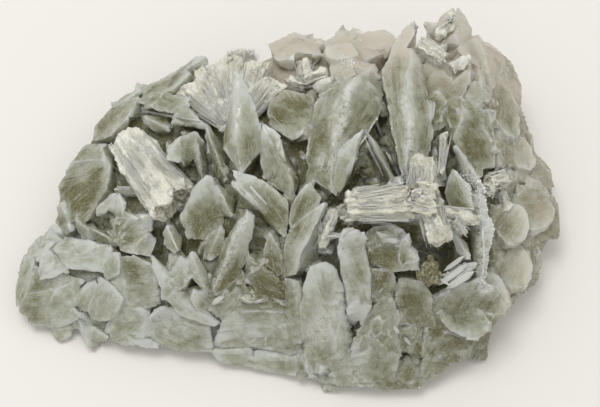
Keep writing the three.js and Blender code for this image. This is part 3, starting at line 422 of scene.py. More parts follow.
@dataclass(frozen=True)
class NoduleFinish:
    """Earthy tan grains with dark pits."""

    name: str = "nodule_earthy"
    light: Triple = (156, 151, 120)
    dark: Triple = (78, 74, 52)
    roughness: float = 0.85
    crumb_size: float = 0.0006

    def build(self) -> bpy.types.Material:
        """Makes the material.

        Returns:
            The material.
        """
        material, recipe, shader = fresh_material(self.name)
        crumb = recipe.noise(recipe.place(), self.crumb_size, 4.0, 0.7)
        body = recipe.mix(recipe.ramp(crumb, 0.36, 0.62), linear(self.dark), linear(self.light))
        normal = recipe.bump(crumb, 0.8, 0.0003)
        recipe.fill(shader, {"Base Color": body, "Roughness": self.roughness, "Normal": normal})
        return material


@dataclass(frozen=True)
class FloorFinish:
    """A plain pale table."""

    name: str = "pale_table"
    colour: Triple = (226, 222, 216)
    roughness: float = 0.9

    def build(self) -> bpy.types.Material:
        """Makes the material.

        Returns:
            The material.
        """
        material, recipe, shader = fresh_material(self.name)
        recipe.fill(shader, {"Base Color": linear(self.colour), "Roughness": self.roughness})
        return material


# Mesh helpers

class Surface:
    """A mesh read and written as arrays, in millimetres."""

    def __init__(self, mesh: bpy.types.Mesh) -> None:
        """Keeps the mesh, whose own unit is the metre."""
        self.mesh = mesh

    def points(self) -> np.ndarray:
        """Reads the vertices.

        Returns:
            One row for each vertex.
        """
        flat = np.empty(len(self.mesh.vertices) * 3, np.float32)
        self.mesh.vertices.foreach_get("co", flat)
        return flat.reshape(-1, 3).astype(np.float64) / MM

    def normals(self) -> np.ndarray:
        """Reads the vertex normals.

        Returns:
            One row for each vertex.
        """
        flat = np.empty(len(self.mesh.vertices) * 3, np.float32)
        self.mesh.vertex_normals.foreach_get("vector", flat)
        return flat.reshape(-1, 3).astype(np.float64)

    def move_to(self, points: np.ndarray) -> None:
        """Puts the vertices at these points."""
        self.mesh.vertices.foreach_set("co", (points * MM).astype(np.float32).ravel())
        self.mesh.update()

    def paint(self, name: str, values: np.ndarray) -> None:
        """Stores values on the vertices.

        Args:
            name: what they are stored under.
            values: a number or a row of three for each vertex.
        """
        kind, slot = ("FLOAT", "value") if values.ndim == 1 else ("FLOAT_VECTOR", "vector")
        layer = self.mesh.attributes.new(name, kind, "POINT")
        layer.data.foreach_set(slot, values.astype(np.float32).ravel())

    def averaged(self, values: np.ndarray, rounds: int) -> np.ndarray:
        """Averages values with those of the neighbours, several times.

        Args:
            values: one row for each vertex.
            rounds: how many times.

        Returns:
            The smoothed values.
        """
        flat = np.empty(len(self.mesh.edges) * 2, np.int32)
        self.mesh.edges.foreach_get("vertices", flat)
        first, second = flat.reshape(-1, 2).T
        count = len(self.mesh.vertices)
        degree = np.bincount(flat, minlength=count).clip(1)
        for _ in range(rounds):
            total = np.zeros_like(values)
            for axis in range(values.shape[1]):
                total[:, axis] = np.bincount(first, values[second, axis], count)
                total[:, axis] += np.bincount(second, values[first, axis], count)
            values = total / degree[:, None]
        return values


class LatticeNoise:
    """Smooth seeded noise over points in space."""

    CELLS = 64
    # How far apart the layers are read, so that they don't line up.
    LAYER_SHIFT = 17.3

    def __init__(self, seed: int) -> None:
        """Draws the lattice from a seed."""
        chance = np.random.default_rng(seed)
        self.table = chance.uniform(-1, 1, (self.CELLS,) * 3).astype(np.float32)

    def at(self, points: np.ndarray, size: float, layers: int = 1) -> np.ndarray:
        """Reads the noise.

        Args:
            points: one row for each point.
            size: how far apart its clouds are.
            layers: how many layers, each half as large and half as strong.

        Returns:
            One value for each point, about -1 to 1.
        """
        total = np.zeros(len(points))
        for layer in range(layers):
            where = points * (2 ** layer / size) + self.LAYER_SHIFT * layer
            cell = np.floor(where).astype(np.int64)
            share = where - cell
            share = share * share * (3 - 2 * share)
            for corner in range(8):
                step = np.array((corner & 1, corner >> 1 & 1, corner >> 2 & 1))
                weight = np.prod(np.where(step, share, 1 - share), axis=1)
                spot = (cell + step) % self.CELLS
                total += weight * self.table[spot[:, 0], spot[:, 1], spot[:, 2]] / 2 ** layer
        return total

    def shifts(self, points: np.ndarray, apart: float, size: float, layers: int = 1) -> np.ndarray:
        """Reads a vector for each point.

        Args:
            points: one row for each point.
            apart: how far the readings of the three axes are from each other.
            size: how far apart the clouds are.
            layers: how many layers.

        Returns:
            One row for each point.
        """
        return np.stack([self.at(points + apart * axis, size, layers) for axis in range(3)], 1)


def blank(name: str) -> bpy.types.Object:
    """Makes an object with an empty mesh.

    Args:
        name: its name.

    Returns:
        The object, in the scene.
    """
    piece = bpy.data.objects.new(name, bpy.data.meshes.new(name))
    bpy.context.scene.collection.objects.link(piece)
    return piece


def merged_copy(node: Node, name: str) -> bpy.types.Object:
    """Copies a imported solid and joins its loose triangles.

    Args:
        node: the solid.
        name: the copy's name.

    Returns:
        The copy, in the scene.
    """
    copy = blank(name)
    work = bmesh.new()
    work.from_mesh(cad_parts[node.value].data)
    bmesh.ops.remove_doubles(work, verts=work.verts, dist=1e-6)
    work.to_mesh(copy.data)
    work.free()
    return copy


def inside_box(points: np.ndarray) -> np.ndarray:
    """Returns the points, in millimetres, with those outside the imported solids' box put on it."""
    low, high = (np.array(corner) / MM for corner in CAD_BOX)
    return np.clip(points, low + BOX_MARGIN, high - BOX_MARGIN)


def rising(values: np.ndarray, low: float, width: float) -> np.ndarray:
    """Returns 0 for values up to low, growing evenly to 1 over this width."""
    return np.clip((values - low) / width, 0, 1)


def unit(rows: np.ndarray) -> np.ndarray:
    """Brings vectors to a length of 1.

    Args:
        rows: one vector, or one in each row.

    Returns:
        The same vectors, with a length of 1.
    """
    if rows.ndim == 1:
        return rows / np.linalg.norm(rows)
    return rows / np.linalg.norm(rows, axis=1, keepdims=True).clip(1e-9)


def settle(piece: bpy.types.Object) -> None:
    """Turns a piece and its modifiers into one plain mesh.

    Args:
        piece: the object.
    """
    graph = bpy.context.evaluated_depsgraph_get()
    mesh = bpy.data.meshes.new_from_object(piece.evaluated_get(graph))
    piece.modifiers.clear()
    piece.data = mesh


def run_tree(piece: bpy.types.Object, tree: bpy.types.NodeTree, values: dict[str, object]) -> None:
    """Puts a geometry tree on a piece and turns the result into a plain mesh.

    Args:
        piece: the object.
        tree: the tree.
        values: its inputs by name.
    """
    modifier = piece.modifiers.new(tree.name, "NODES")
    modifier.node_group = tree
    for item in tree.interface.items_tree:
        if item.item_type == "SOCKET" and item.in_out == "INPUT" and item.name in values:
            modifier[item.identifier] = values[item.name]
    settle(piece)


def remeshed(piece: bpy.types.Object, voxel: float) -> None:
    """Rebuilds a piece's skin with an even mesh.

    Args:
        piece: the object.
        voxel: the mesh's step, in millimetres.
    """
    modifier = piece.modifiers.new("even", "REMESH")
    modifier.mode = "VOXEL"
    modifier.voxel_size = voxel * MM
    modifier.adaptivity = 0.0
    settle(piece)


def thinned(piece: bpy.types.Object, triangles: int) -> None:
    """Brings down the number of a piece's triangles.

    Args:
        piece: the object.
        triangles: how many it may keep.
    """
    now = sum(len(face.vertices) - 2 for face in piece.data.polygons)
    if now > triangles:
        modifier = piece.modifiers.new("thin", "DECIMATE")
        modifier.ratio = triangles / now
        settle(piece)


def shade(piece: bpy.types.Object, sharp: float) -> None:
    """Shades a piece smoothly, but for the edges sharper than this many degrees."""
    piece.data.shade_smooth()
    piece.data.set_sharp_from_angle(angle=math.radians(sharp))


def finish_piece(
    piece: bpy.types.Object, material: bpy.types.Material, slot: Slot, nodes: tuple[Node, ...] = ()
) -> None:
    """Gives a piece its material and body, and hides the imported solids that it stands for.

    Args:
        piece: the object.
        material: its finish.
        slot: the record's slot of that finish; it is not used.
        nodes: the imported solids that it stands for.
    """
    piece.data.materials.clear()
    piece.data.materials.append(material)
    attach(piece, BODY)
    if nodes:
        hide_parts(*(node.value for node in nodes))
    LOG.info("%s: %d faces", piece.name, len(piece.data.polygons))


# Geometry trees

class GeometryRecipe(Recipe):
    """The recipe of a geometry tree."""

    def __init__(self, name: str, inputs: tuple[tuple[str, str], ...]) -> None:
        """Starts the tree.

        Args:
            name: its name.
            inputs: the name and the kind of each of its inputs.
        """
        super().__init__(bpy.data.node_groups.new(name, "GeometryNodeTree"))
        face = self.tree.interface
        for title, kind in inputs:
            face.new_socket(title, in_out="INPUT", socket_type="NodeSocket" + kind)
        face.new_socket("Geometry", in_out="OUTPUT", socket_type="NodeSocketGeometry")
        self.given = self.add("NodeGroupInput").outputs

    def end(self, geometry: Socket) -> bpy.types.NodeTree:
        """Ends the tree with a geometry and returns it."""
        self.add("NodeGroupOutput", {"Geometry": geometry})
        return self.tree

    def end_plain(self, copies: Socket) -> bpy.types.NodeTree:
        """Ends the tree with plain copies that have its material.

        Args:
            copies: the copies.

        Returns:
            The tree.
        """
        real = self.add("GeometryNodeRealizeInstances", {"Geometry": copies}).outputs[0]
        inputs = {"Geometry": real, "Material": self.given["Material"]}
        return self.end(self.add("GeometryNodeSetMaterial", inputs).outputs[0])

    def copies(self, spots: Socket, shape: Socket, turn: Socket, size: Socket) -> Socket:
        """Puts a shape on each spot.

        Args:
            spots: the spots.
            shape: the shape.
            turn: how each is turned.
            size: how large each is.

        Returns:
            The copies.
        """
        inputs = {"Points": spots, "Instance": shape, "Rotation": turn, "Scale": size}
        return self.add("GeometryNodeInstanceOnPoints", inputs).outputs[0]

    def store(self, geometry: Socket, name: str, value: object, domain: str = "POINT") -> Socket:
        """Stores a number on a geometry.

        Args:
            geometry: the geometry.
            name: the number's name.
            value: the number.
            domain: what each number belongs to.

        Returns:
            The geometry.
        """
        inputs = {"Geometry": geometry, "Name": name, "Value": value}
        node = self.add("GeometryNodeStoreNamedAttribute", inputs, data_type="FLOAT", domain=domain)
        return node.outputs["Geometry"]

    def stored(self, name: str, kind: str = "FLOAT") -> Socket:
        """Returns what is stored under a name."""
        return self.add("GeometryNodeInputNamedAttribute", {"Name": name}, data_type=kind).outputs[0]

    def any_way(self, seed: Socket) -> Socket:
        """Returns a random vector with each part from -1 to 1."""
        inputs = {"Min": (-1, -1, -1), "Max": (1, 1, 1), "Seed": seed}
        return self.add("FunctionNodeRandomValue", inputs, data_type="FLOAT_VECTOR").outputs[0]


class LightReach:
    """A geometry tree that feels how open and how thick the piece is around each vertex."""

    RAYS = 18
    SKY_REACH = 13.0
    BODY_REACH = 5.0
    LIFT = 0.03
    SPREAD = 0.98

    def build(self) -> bpy.types.NodeTree:
        """Makes the tree.

        Returns:
            The tree: open is the share of rays that leave, depth the mean way through the body.
        """
        recipe = GeometryRecipe("light_reach", (("Geometry", "Geometry"), ("Rays", "Int")))
        target, rays = recipe.given["Geometry"], recipe.given["Rays"]
        repeat_in = recipe.add("GeometryNodeRepeatInput")
        repeat_out = recipe.add("GeometryNodeRepeatOutput")
        repeat_in.pair_with_output(repeat_out)
        start = recipe.store(recipe.store(target, "open", 0.0), "depth", 0.0)
        recipe.fill(repeat_in, {"Iterations": rays, "Geometry": start})

        place = recipe.add("GeometryNodeInputPosition").outputs[0]
        normal = recipe.add("GeometryNodeInputNormal").outputs[0]
        jitter = recipe.vector("NORMALIZE", recipe.any_way(repeat_in.outputs["Iteration"]))
        spread = recipe.vector("SCALE", jitter, scale=self.SPREAD)
        way = recipe.vector("NORMALIZE", recipe.vector("ADD", normal, spread))
        lift = recipe.vector("SCALE", normal, scale=self.LIFT * MM)
        back = recipe.vector("SCALE", way, scale=-1.0)
        share = recipe.math("DIVIDE", 1.0, rays)

        sky = self.cast(recipe, recipe.vector("ADD", place, lift), way, self.SKY_REACH)
        inner = self.cast(recipe, recipe.vector("SUBTRACT", place, lift), back, self.BODY_REACH)
        free = recipe.math("SUBTRACT", 1.0, sky["Is Hit"])
        missed = recipe.math("SUBTRACT", 1.0, inner["Is Hit"])
        through = recipe.math("DIVIDE", inner["Hit Distance"], self.BODY_REACH * MM)
        through = recipe.math("MAXIMUM", recipe.math("MULTIPLY", through, inner["Is Hit"]), missed)

        now = repeat_in.outputs["Geometry"]
        for name, value in (("open", free), ("depth", through)):
            more = recipe.math("MULTIPLY", value, share)
            now = recipe.store(now, name, recipe.math("ADD", recipe.stored(name), more))
        recipe.fill(repeat_out, {"Geometry": now})
        return recipe.end(repeat_out.outputs["Geometry"])

    @staticmethod
    def cast(recipe: GeometryRecipe, origin: Socket, way: Socket, reach: float) -> bpy.types.NodeOutputs:
        """Adds one ray from each vertex to the geometry itself.

        Args:
            recipe: the tree.
            origin: where the ray starts.
            way: where it goes.
            reach: how far, in millimetres.

        Returns:
            The ray's results.
        """
        return recipe.add("GeometryNodeRaycast", {
            "Target Geometry": recipe.given["Geometry"],
            "Source Position": origin,
            "Ray Direction": way,
            "Ray Length": reach * MM,
        }).outputs


class NeedleBundle:
    """A geometry tree that lays tapered needles along a stick, splayed as it widens."""

    INPUTS = (
        ("Count", "Int"), ("Seed", "Int"),
        ("Start", "Vector"), ("End", "Vector"), ("Side", "Vector"), ("Up", "Vector"),
        ("Start Radius", "Float"), ("End Radius", "Float"), ("Inner Share", "Float"),
        ("Width", "Float"), ("Ragged", "Float"), ("Shortest", "Float"), ("Stray", "Float"),
        ("Material", "Material"),
    )
    SEED_STEP = 101
    SIDES = 5
    TIP_SHARE = 0.55

    def build(self) -> bpy.types.NodeTree:
        """Makes the tree.

        Returns:
            The tree, which ends in plain needles with their material.
        """
        recipe = GeometryRecipe("needle_bundle", self.INPUTS)
        given, vector, math_node = recipe.given, recipe.vector, recipe.math

        def chance(low: object, high: object, draw: int) -> Socket:
            """Adds a random number for each needle.

            Args:
                low: the least that it can be.
                high: the most that it can be.
                draw: which draw it is.

            Returns:
                The number.
            """
            seed = math_node("ADD", given["Seed"], float(draw * self.SEED_STEP))
            inputs = {"Min": low, "Max": high, "Seed": seed}
            return recipe.add("FunctionNodeRandomValue", inputs, data_type="FLOAT").outputs[1]

        turn = chance(0.0, math.tau, 1)
        out = chance(given["Inner Share"], 1.0, 2)
        early = chance(0.0, given["Ragged"], 3)
        full = math_node("SUBTRACT", 1.0, chance(0.0, given["Ragged"], 4))
        reach = chance(given["Shortest"], 1.0, 5)
        slide = chance(0.0, 1.0, 6)
        span = math_node("SUBTRACT", full, early)
        length = math_node("MULTIPLY", span, reach)
        first = math_node("MULTIPLY_ADD", math_node("SUBTRACT", span, length), slide, early)
        last = math_node("ADD", first, length)
        side = vector("SCALE", given["Side"], scale=math_node("COSINE", turn))
        up = vector("SCALE", given["Up"], scale=math_node("SINE", turn))
        across = vector("ADD", side, up)
        axis = vector("SUBTRACT", given["End"], given["Start"])
        gain = math_node("SUBTRACT", given["End Radius"], given["Start Radius"])

        def spot(share: Socket) -> Socket:
            """Places one end of each needle.

            Args:
                share: how far along the stick it is, from 0 to 1.

            Returns:
                The place.
            """
            radius = math_node("MULTIPLY", math_node("MULTIPLY_ADD", gain, share, given["Start Radius"]), out)
            along = vector("ADD", given["Start"], vector("SCALE", axis, scale=share))
            return vector("ADD", along, vector("SCALE", across, scale=radius))

        foot = spot(first)
        loose = math_node("MULTIPLY", given["Stray"], reach)
        stray = vector("SCALE", recipe.any_way(given["Seed"]), scale=loose)
        run = vector("SUBTRACT", vector("ADD", spot(last), stray), foot)
        dots = recipe.add("GeometryNodePoints", {"Count": given["Count"], "Position": foot})
        needle = recipe.add("GeometryNodeMeshCone", {
            "Vertices": self.SIDES, "Side Segments": 2,
            "Radius Top": self.TIP_SHARE, "Radius Bottom": 1.0, "Depth": 1.0,
        })
        aim = recipe.add("FunctionNodeAlignRotationToVector", {"Vector": run}, axis="Z").outputs[0]
        inputs = {"Axis": (0, 0, 1), "Angle": chance(0.0, math.tau, 7)}
        spin = recipe.add("FunctionNodeAxisAngleToRotation", inputs).outputs[0]
        inputs = {"Rotation": aim, "Rotate By": spin}
        turned = recipe.add("FunctionNodeRotateRotation", inputs, rotation_space="LOCAL").outputs[0]
        thick = math_node("MULTIPLY", given["Width"], chance(0.6, 1.5, 8))
        flatter = math_node("MULTIPLY", thick, chance(0.5, 1.0, 9))
        inputs = {"X": thick, "Y": flatter, "Z": vector("LENGTH", run)}
        size = recipe.add("ShaderNodeCombineXYZ", inputs).outputs[0]
        placed = recipe.copies(dots.outputs[0], needle.outputs["Mesh"], turned, size)
        return recipe.end_plain(recipe.store(placed, "tone", chance(0.0, 1.0, 10), "INSTANCE"))


class PlateScatter:
    """A geometry tree that grows a thin plate with flat sides at each spot it is given."""

    INPUTS = (("Geometry", "Geometry"), ("Sides", "Int"), ("Taper", "Float"), ("Material", "Material"))

    def build(self) -> bpy.types.NodeTree:
        """Makes the tree.

        Returns:
            The tree, which ends in plain plates with their material.
        """
        recipe = GeometryRecipe("plate_scatter", self.INPUTS)
        given = recipe.given
        plate = recipe.add("GeometryNodeMeshCone", {
            "Vertices": given["Sides"], "Radius Top": given["Taper"], "Radius Bottom": 1.0, "Depth": 1.0,
        })
        face, aim, size = (recipe.stored(name, "FLOAT_VECTOR") for name in ("face", "aim", "size"))
        align = "FunctionNodeAlignRotationToVector"
        flat = recipe.add(align, {"Vector": face}, axis="Z").outputs[0]
        turned = recipe.add(align, {"Rotation": flat, "Vector": aim}, axis="X", pivot_axis="Z").outputs[0]
        return recipe.end_plain(recipe.copies(given["Geometry"], plate.outputs["Mesh"], turned, size))


# Calcite

class HeightMap:
    """How high the crystals stand on average around each place, in millimetres."""

    STEP = 1.0
    ROUNDS = 14

    def __init__(self, points: np.ndarray) -> None:
        """Spreads the highest points of each cell over the cells around it.

        Args:
            points: on the crystals.
        """
        self.low = np.floor(points[:, :2].min(axis=0)) - 2
        self.last = None
        cells = self.cells(points)
        top = np.zeros(tuple(cells.max(axis=0) + 3))
        self.last = np.array(top.shape) - 1
        np.maximum.at(top, (cells[:, 0], cells[:, 1]), points[:, 2])
        weight = (top > 0).astype(float)
        for _ in range(self.ROUNDS):
            top, weight = (
                sum(np.roll(grid, way, axis) for axis in (0, 1) for way in (-1, 1)) * 0.2 + grid * 0.2
                for grid in (top, weight)
            )
        self.level = top / weight.clip(1e-3)

    def cells(self, points: np.ndarray) -> np.ndarray:
        """Returns the cell of each point."""
        return ((points[:, :2] - self.low) / self.STEP).astype(int).clip(0, self.last)

    def over(self, points: np.ndarray) -> np.ndarray:
        """Returns how high each point is over the level around it."""
        cells = self.cells(points)
        return points[:, 2] - self.level[cells[:, 0], cells[:, 1]]


@dataclass(frozen=True)
class SmallBlade:
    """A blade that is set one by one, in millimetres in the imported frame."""

    start: Triple
    end: Triple
    width: float
    thickness: float = 0.3
    face: Triple = (0.1, -0.4, 1.0)

    def spot(self) -> Spot:
        """Works out the blade's plate.

        Returns:
            Where it starts, the ways that it faces and points, and its half sizes.
        """
        start, end, face = np.array(self.start), np.array(self.end), np.array(self.face)
        length = np.linalg.norm(end - start)
        aim = (end - start) / length
        face = unit(face - aim * (face @ aim))
        size = np.array((length / 2, self.width / 2, self.thickness))
        return (start + end) / 2 - face * self.thickness / 2, face, aim, size


@dataclass(frozen=True)
class PlateMaker:
    """Makes plates of one cut and finish."""

    tree: bpy.types.NodeTree
    finish: bpy.types.Material
    sides: int = 6
    taper: float = 0.7

    def at(self, spots: list[Spot], name: str) -> bpy.types.Object:
        """Makes a plate at each spot.

        Args:
            spots: the spots.
            name: the new object's name.

        Returns:
            The object with all the plates.
        """
        places, faces, aims, sizes = (np.array(rows) for rows in zip(*spots))
        carrier = blank(name)
        carrier.data.from_pydata((places * MM).tolist(), [], [])
        surface = Surface(carrier.data)
        for key, rows in (("face", faces), ("aim", aims), ("size", sizes * MM)):
            surface.paint(key, rows)
        run_tree(carrier, self.tree, {"Sides": self.sides, "Taper": self.taper, "Material": self.finish})
        return carrier


class Habit(Enum):
    """How a small plate grows."""

    SHINGLE = "flat on a face"
    LEANING = "leaning out of a gap"


@dataclass(frozen=True)
class Growth:
    """One generation of small plates on the crystals, in millimetres."""

    habit: Habit
    count: int
    length: Pair
    width: float
    thickness: Pair
    sunk: float
    openness: Pair
    lowest: float
    taper: float
    highest: float = 9.0


@dataclass(frozen=True)
class Stroke:
    """A line over the crystals that something follows, in millimetres."""

    points: tuple[Triple, ...]
    radius: float
    strength: float = 1.0

    def nearness(self, points: np.ndarray) -> np.ndarray:
        """Tells how close points are to the line.

        Args:
            points: one row for each.

        Returns:
            1 on the line, 0 two radii away from it.
        """
        best = np.full(len(points), 1e9)
        spots = np.array(self.points)
        for start, end in zip(spots[:-1], spots[1:]):
            run = end - start
            share = ((points - start) @ run / (run @ run)).clip(0, 1)
            best = np.minimum(best, np.linalg.norm(points - start - share[:, None] * run, axis=1))
        fall = np.clip(2 - best / self.radius, 0, 1)
        return fall * fall * (3 - 2 * fall)


def over_strokes(points: np.ndarray, strokes: Iterable[Stroke]) -> np.ndarray:
    """Tells how strongly strokes cover points.

    Args:
        points: one row for each.
        strokes: the strokes.

    Returns:
        The strongest of the strokes at each point, from 0.
    """
    level = np.zeros(len(points))
    for stroke in strokes:
        level = np.maximum(level, stroke.strength * stroke.nearness(points))
    return level


# Large crystals whose faces stay free of small plates.
SMOOTH: tuple[Stroke, ...] = (
    Stroke(((5.1, -16.1, 24.7), (5.2, -23.4, 15.4)), 4.0),
    Stroke(((-7.7, 13.4, 32.1), (-7.3, 0.5, 27.6)), 1.5),
    Stroke(((19.5, 11.1, 33.0), (19.7, -2.1, 31.4)), 2.0),
    Stroke(((10.6, 12.6, 33.4), (8.0, 3.5, 32.0)), 2.5),
    Stroke(((-7.1, -7.5, 24.8), (-12.9, -16.3, 15.8)), 1.5),
    Stroke(((-38.8, -1.8, 10.0), (-34.0, 6.0, 12.0)), 2.0),
)


class Intergrowth:
    """The small plates that grow on the big crystals and in the gaps between them."""

    SAMPLES = 60000
    LOOKS = 10
    LOOK_REACH = 12.0
    # How much longer than a random look the normal is that it adds to, and where looks start.
    LOOK_OUT = 1.02
    LIFT = 0.02
    TRIES = 6
    STEEP = (28.0, 70.0)
    WIDTHS = (0.7, 1.3)
    # How much a leaning and a flat plate tilt at random, and where flat ones point, more or less.
    LEAN_TILT = 0.35
    FLAT_TILT = 0.09
    FLAT_AIM = np.array((0.25, 0.35, 0.9))
    AIM_SPREAD = 0.25
    UP = np.array((0.0, 0.0, 1.0))
    # The room beside a needle bundle, as a share of a plate's length.
    ROOM = 0.35

    def __init__(self, bed: bpy.types.Object, seed: int) -> None:
        """Reads the faces of the merged solid.

        Args:
            bed: the merged solid.
            seed: the start of the random numbers.
        """
        self.bed = bed
        self.chance = np.random.default_rng(seed)
        corners = Surface(bed.data).points()
        faces = np.array([tuple(face.vertices) for face in bed.data.polygons])
        self.corners = corners[faces]
        first, second, third = self.corners.transpose(1, 0, 2)
        cross = np.cross(second - first, third - first)
        self.area = np.linalg.norm(cross, axis=1)
        self.normals = cross / self.area[:, None].clip(1e-9)
        self.tree = BVHTree.FromPolygons([Vector(corner) for corner in corners], faces.tolist())
        self.heights = HeightMap(self.spots(self.SAMPLES)[0])
        self.spared = [
            stick.frame()[:2] + (max(stick.start_radius, stick.end_radius),)
            for group in STICKS.values() for stick in group
        ]
        self.spared += [(np.array(s.points[0]), np.array(s.points[-1]), s.radius) for s in SMOOTH]

    def spots(self, count: int) -> tuple[np.ndarray, np.ndarray]:
        """Draws points evenly over the faces.

        Args:
            count: how many.

        Returns:
            The points and the normals of their faces.
        """
        chosen = self.chance.choice(len(self.area), count, p=self.area / self.area.sum())
        first, second = self.chance.random((2, count))
        over = first + second > 1
        first[over], second[over] = 1 - first[over], 1 - second[over]
        corner = self.corners[chosen]
        points = corner[:, 0] + first[:, None] * (corner[:, 1] - corner[:, 0])
        points += second[:, None] * (corner[:, 2] - corner[:, 0])
        return points, self.normals[chosen]

    def openness(self, point: np.ndarray, normal: np.ndarray) -> float:
        """Tells how much of the sky a point sees.

        Args:
            point: where, in millimetres.
            normal: of its face.

        Returns:
            The share of its looks that meet nothing.
        """
        free = 0
        for _ in range(self.LOOKS):
            way = normal * self.LOOK_OUT + unit(self.chance.normal(size=3))
            hit = self.tree.ray_cast(Vector(point + normal * self.LIFT), Vector(way), self.LOOK_REACH)
            free += hit[0] is None
        return free / self.LOOKS

    def is_clear(self, point: np.ndarray, room: float) -> bool:
        """Tells whether a point is far from the needles and the smooth faces.

        Args:
            point: where, in millimetres.
            room: how far it has to be.

        Returns:
            Whether it is.
        """
        for start, end, radius in self.spared:
            run = end - start
            share = min(max((point - start) @ run / (run @ run), 0), 1)
            if np.linalg.norm(point - start - share * run) < radius + room:
                return False
        return True

    def grow(self, growth: Growth, tree: bpy.types.NodeTree, finish: bpy.types.Material) -> None:
        """Adds one generation of plates to the bed.

        Args:
            growth: its sizes.
            tree: the tree that makes plates.
            finish: their material.
        """
        spots = []
        points, normals = self.spots(growth.count * self.TRIES)
        for point, normal in zip(points, normals):
            if len(spots) == growth.count:
                break
            length = self.chance.uniform(*growth.length)
            if point[2] < growth.lowest or not self.is_clear(point, length * self.ROOM):
                continue
            if not growth.openness[0] <= self.openness(point, normal) <= growth.openness[1]:
                continue
            if growth.habit is Habit.LEANING:
                place, face, aim, thickness = self.leaning(point, length, growth)
                if self.heights.over((place + aim * length / 2)[None])[0] > growth.highest:
                    continue
            else:
                place, face, aim, thickness = self.shingle(point, normal, growth)
            width = length * growth.width * self.chance.uniform(*self.WIDTHS)
            spots.append((place, face, aim, np.array((length / 2, width / 2, thickness))))
        self.join(PlateMaker(tree, finish, taper=growth.taper).at(spots, "plates"))

    def leaning(self, point: np.ndarray, length: float, growth: Growth) -> tuple:
        """Draws a plate that leans out of a gap.

        Args:
            point: its foot.
            length: its length.
            growth: the sizes of its generation.

        Returns:
            Its place, the ways that it faces and points, and its thickness.
        """
        tilt = self.chance.normal(size=3)
        turn = self.chance.uniform(0, math.tau)
        steep = math.radians(self.chance.uniform(*self.STEEP))
        out = np.array((math.cos(turn), math.sin(turn), 0.0))
        aim = out * math.cos(steep) + self.UP * math.sin(steep)
        face = self.UP - aim * aim[2] + self.LEAN_TILT * tilt
        face = unit(face - aim * (face @ aim))
        thickness = self.chance.uniform(*growth.thickness)
        return point + aim * length * (0.5 - growth.sunk) - face * thickness / 2, face, aim, thickness

    def shingle(self, point: np.ndarray, normal: np.ndarray, growth: Growth) -> tuple:
        """Draws a plate that lies flat on a face.

        Args:
            point: its middle.
            normal: of the face.
            growth: the sizes of its generation.

        Returns:
            Its place, the ways that it faces and points, and its thickness.
        """
        face = unit(normal + self.FLAT_TILT * self.chance.normal(size=3))
        aim = self.FLAT_AIM + self.AIM_SPREAD * self.chance.normal(size=3)
        thickness = self.chance.uniform(*growth.thickness)
        return point - face * thickness * growth.sunk, face, aim, thickness

    def join(self, carrier: bpy.types.Object) -> None:
        """Moves an object's mesh into the bed's.

        Args:
            carrier: the object.
        """
        work = bmesh.new()
        work.from_mesh(self.bed.data)
        work.from_mesh(carrier.data)
        work.to_mesh(self.bed.data)
        work.free()
        bpy.data.objects.remove(carrier)


